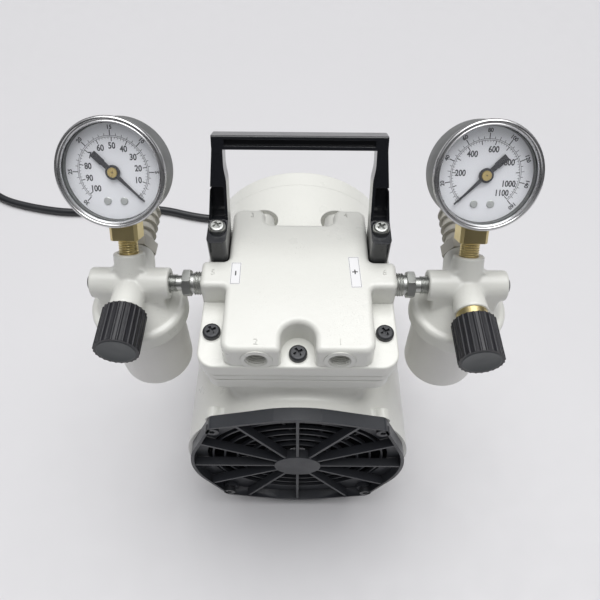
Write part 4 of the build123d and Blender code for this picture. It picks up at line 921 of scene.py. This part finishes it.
filter_rows = [(0.0, 0.0045), (0.0, 0.0078), (0.0006, 0.0080), (0.0022, 0.0080), (pleat_start, 0.0078)]
filter_rows += [pleated(pleat_start + pleat_gap * step) for step in range(pleat_rows)]
filter_rows += [(0.0236, 0.0078), (0.0238, 0.0080), (0.0258, 0.0080), (0.0260, 0.0078)]
filter_rows += [(0.0260, 0.003), (0.031, 0.003)]
filter_foot, jar_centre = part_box("filter_elements")[0][2], box_centre("jar_right")
for side_name, side in (("left", -1), ("right", 1)):
    dress(barb_nylon, f"hose_barb_{side_name}")
    dress(jar_milk, f"jar_{side_name}")
    element = place_rings(
        f"filter_{side_name}",
        filter_rows,
        (side * jar_centre.x, jar_centre.y, filter_foot),
        (0, 0, 1),
        filter_felt,
        "pump",
        120,
    )
    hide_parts("filter_elements")

# ---------------------------------------------------------------------
# Regulators: turned brass bonnets and stems, and black ribbed knobs with
# a flat slate-grey disc on the front.
# ---------------------------------------------------------------------
brass = finish(
    "aged_brass", [(0.66, 0.54, 0.26), (0.80, 0.67, 0.36)], (0.28, 0.42), cloud_scale=110.0, metallic=1.0
)
roughen(brass, 500.0, 2400.0, 0.5, 0.00006, edge=0.0004)
dress(brass, "bonnet_left", "bonnet_right", "adjusting_stem_left", "adjusting_stem_right")
knob_plastic = finish(
    "knob_plastic", [(0.013, 0.013, 0.016), (0.020, 0.020, 0.025)], (0.28, 0.4), cloud_scale=60.0
)
roughen(knob_plastic, 500.0, 2400.0, 0.5, 0.00005, edge=0.0003)
knob_slate = finish(
    "knob_front", [(0.045, 0.052, 0.055), (0.058, 0.066, 0.070)], (0.36, 0.46), cloud_scale=80.0
)
roughen(knob_slate, 400.0, 2000.0, 0.5, 0.00004)
knob_rows = [(0.0, 0.0104), (0.00025, 0.0104), (0.00035, 0.0102), (0.00035, 0.0098)]
knob_rows += [(0.0002, 0.0095), (0.0002, 0.002)]
disc_sunk = 0.0001
for side_name in ("left", "right"):
    dress(knob_plastic, f"knob_{side_name}")
    knob_front, knob_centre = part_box(f"knob_{side_name}")[0][1], box_centre(f"knob_{side_name}")
    place_rings(
        f"knob_disc_{side_name}",
        knob_rows,
        (knob_centre.x, knob_front + disc_sunk, knob_centre.z),
        (0, -1, 0),
        knob_slate,
        f"dial_knob_{side_name}",
    )

# ---------------------------------------------------------------------
# Gauges: grey painted cases, rolled chrome bezels, clear windows and
# square brass stems that screw into the manifolds.
# ---------------------------------------------------------------------
gauge_lean = math.radians(33.5)
up_dial = Vector((0, math.sin(gauge_lean), math.cos(gauge_lean)))
out_dial = Vector((0, -math.cos(gauge_lean), math.sin(gauge_lean)))
case_paint = finish(
    "case_paint", [(0.075, 0.080, 0.077), (0.095, 0.101, 0.097)], (0.34, 0.45), cloud_scale=40.0
)
roughen(case_paint, 300.0, 1500.0, 0.4, 0.00008, edge=0.0004)
chrome = finish(
    "bezel_chrome", [(0.60, 0.60, 0.61), (0.68, 0.68, 0.68)], (0.22, 0.32), cloud_scale=60.0, metallic=1.0
)
roughen(chrome, 140.0, 900.0, 0.3, 0.00005)
dial_paint = finish("dial_paint", [(0.66, 0.66, 0.68), (0.70, 0.70, 0.72)], (0.5, 0.6), cloud_scale=60.0)
roughen(dial_paint, 800.0, 2400.0, 0.5, 0.00002)
dial_ink = finish("dial_ink", [(0.02, 0.02, 0.025), (0.04, 0.04, 0.045)], (0.5, 0.6))

# Windows: clear plastic that lets light through to the dial
glass = bpy.data.materials.new("gauge_window")
glass.use_nodes = True
glass_tree = glass.node_tree
glass_shader = glass_tree.nodes["Principled BSDF"]
set_inputs(glass_shader, Base_Color=(0.96, 0.97, 0.98, 1), Roughness=0.03, IOR=1.49, Transmission_Weight=1.0)
glass_clear = glass_tree.nodes.new("ShaderNodeBsdfTransparent")
glass_rays = glass_tree.nodes.new("ShaderNodeLightPath")
glass_mix = glass_tree.nodes.new("ShaderNodeMixShader")
join(
    glass_tree,
    (glass_rays, "Is Shadow Ray", glass_mix, "Fac"),
    (glass_shader, "BSDF", glass_mix, 1),
    (glass_clear, "BSDF", glass_mix, 2),
    (glass_mix, "Shader", glass_tree.nodes["Material Output"], "Surface"),
)
dress(glass, "gauge_windows")
dress(case_paint, "gauge_case_left", "gauge_case_right")

block_foot, block_drop, block_inner_r, block_swell = 0.0303, 0.0038, 0.0062, 1.1
boss_length, stem_thread, stem_thread_r, stem_groove = 0.018, 0.0125, 0.0055, 0.0007
bezel_skirt = 0.009
bezel_rows = [
    (0.0056, 0.0262), (0.0056, 0.0279), (0.0059, 0.0282), (0.0064, 0.0283), (0.0072, 0.0281),
    (0.0076, 0.0283), (0.0082, 0.0283), (0.0087, 0.0280), (0.0090, 0.0274), (0.0089, 0.0268),
    (0.0085, 0.0264), (0.0085, 0.0261), (0.0087, 0.0258), (0.0085, 0.0254), (0.0080, 0.0251),
    (0.0073, 0.0250), (0.0073, 0.0262),
]
band_back = -0.0175
band_rows = [
    (0.0060, 0.0261), (0.0060, 0.0273), (band_back + 0.0030, 0.0273), (band_back + 0.0014, 0.0270),
    (band_back + 0.0004, 0.0263), (band_back, 0.0254), (band_back, 0.0235), (band_back + 0.0040, 0.0235),
    (band_back + 0.0040, 0.0261),
]
for side_name in ("left", "right"):
    skirt = box_centre(f"gauge_bezel_{side_name}") - out_dial * bezel_skirt / 2
    bezel = place_rings(
        f"bezel_{side_name}", bezel_rows, skirt, out_dial, chrome, "pump", 96, closed=True
    )
    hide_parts(f"gauge_bezel_{side_name}")
    place_rings(
        f"case_wall_{side_name}", band_rows, skirt, out_dial, case_paint, "pump", 96, closed=True
    )
    port_axis = Vector((box_centre(f"dial_{side_name}").x, head_y, port_z))

    def lengthen_block(point):
        """The square block of the stem is a little wider, and reaches further down its thread."""
        rise = (point - port_axis).dot(up_dial)
        aside = point - port_axis - up_dial * rise
        if aside.length > block_inner_r:
            aside *= block_swell
        if abs(rise - block_foot) < slack:
            rise -= block_drop
        return port_axis + up_dial * rise + aside

    reshape(f"gauge_stem_{side_name}", f"stem_{side_name}", lengthen_block, brass, "pump")
    place_rings(
        f"stem_thread_{side_name}",
        thread_rows(stem_thread, stem_thread_r, stem_groove, port_pitch, ends=0.0008),
        port_axis + up_dial * (boss_length - 0.002),
        up_dial,
        brass,
        "pump",
    )

# ---------------------------------------------------------------------
# Dials and pointers: white printed dials with two scales each, two small
# fixing screws, a black pointer on a brass hub.
# ---------------------------------------------------------------------
dial_half_thick = 0.0004
dial_ahead = 0.0030  # nearer the window than the plain solid
dial_disc_r = 0.0247
print_h = 0.00002
sweep = math.radians(270)
scale_r, inner_r = 0.0183, 0.0176


def dial_matrix(centre):
    """Places flat XY drawings on the front of a dial."""
    turn = Matrix(((1, 0, 0, 0), (0, up_dial.y, out_dial.y, 0), (0, up_dial.z, out_dial.z, 0), (0, 0, 0, 1)))
    return Matrix.Translation(centre + out_dial * (dial_ahead + dial_half_thick)) @ turn


def arc_strip(shape, radius, width, start, end, matrix, steps=90):
    """A thin raised line round the dial."""
    corners = []
    for step in range(steps + 1):
        angle = start + (end - start) * step / steps
        out = Vector((math.cos(angle), math.sin(angle), 0))
        corners.append(
            [
                shape.verts.new(matrix @ (out * (radius + dr) + Vector((0, 0, z))))
                for dr, z in ((-width, 0), (width, 0), (width, print_h * 2), (-width, print_h * 2))
            ]
        )
    for here, there in zip(corners, corners[1:]):
        for a in range(4):
            b = (a + 1) % 4
            shape.faces.new((here[a], here[b], there[b], there[a]))
    shape.faces.new(corners[0])
    shape.faces.new(reversed(corners[-1]))


def tick(shape, angle, low, high, width, matrix):
    middle = (low + high) / 2
    add_block(
        shape,
        (middle * math.cos(angle), middle * math.sin(angle), print_h),
        ((high - low) / 2, width / 2, print_h),
        angle,
        matrix,
    )


# Start angle and direction, then for the outer and the inner scale: the value
# at full sweep, the steps between long and short ticks, and the numbers
dial_plans = {
    "left": (math.radians(-45), 1, (30.0, 5, 1, range(5, 31, 5)), (101.6, 10, 2, range(10, 101, 10))),
    "right": (
        math.radians(225),
        -1,
        (160.0, 20, 5, range(20, 161, 20)),
        (1103.0, 100, 20, (200, 400, 600, 800, 1000, 1100)),
    ),
}
line_half_w = 0.00011
outer_number_r, outer_number_size, outer_weight = 0.0224, 0.0028, 0.00010
inner_number_r, inner_number_size, inner_weight, inner_squeeze = 0.0132, 0.0044, 0.00014, 0.84
mark_half, mark_line = 0.0011, 0.00010
dial_rows = [(-0.0008, 0.002), (-0.0008, dial_disc_r - 0.0002), (-0.0006, dial_disc_r)]
dial_rows += [(-0.0001, dial_disc_r), (0.0, dial_disc_r - 0.0001), (0.0, 0.002)]
dial_screws_x, dial_screw_y = (-0.0045, 0.0042), -0.0150
screw_rows = [(0.0, 0.0020), (0.0003, 0.0020), (0.0005, 0.0018), (0.0006, 0.0012)]
for side_name in ("left", "right"):
    start, way, outer, inner = dial_plans[side_name]
    on_dial = dial_matrix(box_centre(f"dial_{side_name}"))
    dial = place_rings(
        f"dial_plate_{side_name}",
        dial_rows,
        on_dial.to_translation(),
        out_dial,
        dial_paint,
        "pump",
        96,
    )
    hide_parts(f"dial_{side_name}")
    drawing = bmesh.new()
    for line_r in (scale_r, inner_r):
        arc_strip(drawing, line_r, line_half_w, start, start + way * sweep, on_dial)
    full, long_step, short_step, outer_numbers = outer
    for value in range(0, int(full / short_step) * short_step + 1, short_step):
        long_tick = value % long_step == 0
        reach = 0.0029 if long_tick else 0.0017 if value * 2 % long_step == 0 else 0.0012
        width = 0.00048 if long_tick else 0.00027
        tick(drawing, start + way * sweep * value / full, scale_r, scale_r + reach, width, on_dial)
    full, long_step, short_step, inner_numbers = inner
    for value in range(0, int(full / short_step) * short_step + 1, short_step):
        long_tick = value % long_step == 0
        reach, width = (0.0021, 0.00044) if long_tick else (0.0009, 0.0002)
        tick(drawing, start + way * sweep * value / full, inner_r - reach, inner_r, width, on_dial)
    for number in outer_numbers:
        angle = start + way * sweep * number / outer[0]
        middle = Vector((outer_number_r * math.cos(angle), outer_number_r * math.sin(angle), print_h))
        upright = Matrix.Rotation(angle - math.pi / 2, 4, "Z")
        letters = letter_mesh(str(number), outer_number_size, print_h * 2, outer_weight)
        add_mesh(drawing, letters, on_dial @ Matrix.Translation(middle) @ upright)
    for number in inner_numbers:
        angle = start + way * sweep * number / inner[0]
        middle = Vector((inner_number_r * math.cos(angle), inner_number_r * math.sin(angle), print_h))
        squeeze = Matrix.Diagonal((inner_squeeze, 1, 1, 1))
        letters = letter_mesh(str(number), inner_number_size, print_h * 2, inner_weight)
        add_mesh(drawing, letters, on_dial @ Matrix.Translation(middle) @ squeeze)
    # Small square that marks zero
    at_zero = on_dial @ Matrix.Rotation(start, 4, "Z")
    for offset_r, offset_a, half_r, half_a in (
        (-mark_half, 0.0, mark_line, mark_half),
        (mark_half, 0.0, mark_line, mark_half),
        (0.0, -mark_half, mark_half, mark_line),
        (0.0, mark_half, mark_half, mark_line),
    ):
        add_block(drawing, (scale_r + offset_r, offset_a, print_h), (half_r, half_a, print_h), 0.0, at_zero)
    place_shape(f"dial_print_{side_name}", drawing, dial_ink, "pump")
    for screw_number, screw_x in enumerate(dial_screws_x):
        place_rings(
            f"dial_screw_{side_name}_{screw_number}",
            screw_rows,
            on_dial @ Vector((screw_x, dial_screw_y, 0)),
            out_dial,
            zinc,
            "pump",
            32,
        )

pointer_black = finish("pointer_paint", [(0.014, 0.014, 0.018), (0.024, 0.024, 0.028)], (0.4, 0.5))
hub_brass = finish("hub_brass", [(0.48, 0.36, 0.14), (0.60, 0.46, 0.20)], (0.25, 0.35), metallic=1.0)
cap_rows = [(0.0015, 0.0026), (0.0023, 0.0026), (0.0026, 0.0024)]
cap_rows += [(0.0027, 0.0019), (0.0026, 0.0005), (0.0024, 0.0004)]
for side_name in ("left", "right"):
    reshape(
        f"pointer_{side_name}",
        f"needle_arm_{side_name}",
        lambda point: point + out_dial * dial_ahead,
        pointer_black,
        f"needle_{side_name}",
    )
    place_rings(
        f"pointer_cap_{side_name}",
        cap_rows,
        box_centre(f"dial_{side_name}") + out_dial * (dial_ahead + dial_half_thick),
        out_dial,
        hub_brass,
        f"needle_{side_name}",
        48,
    )
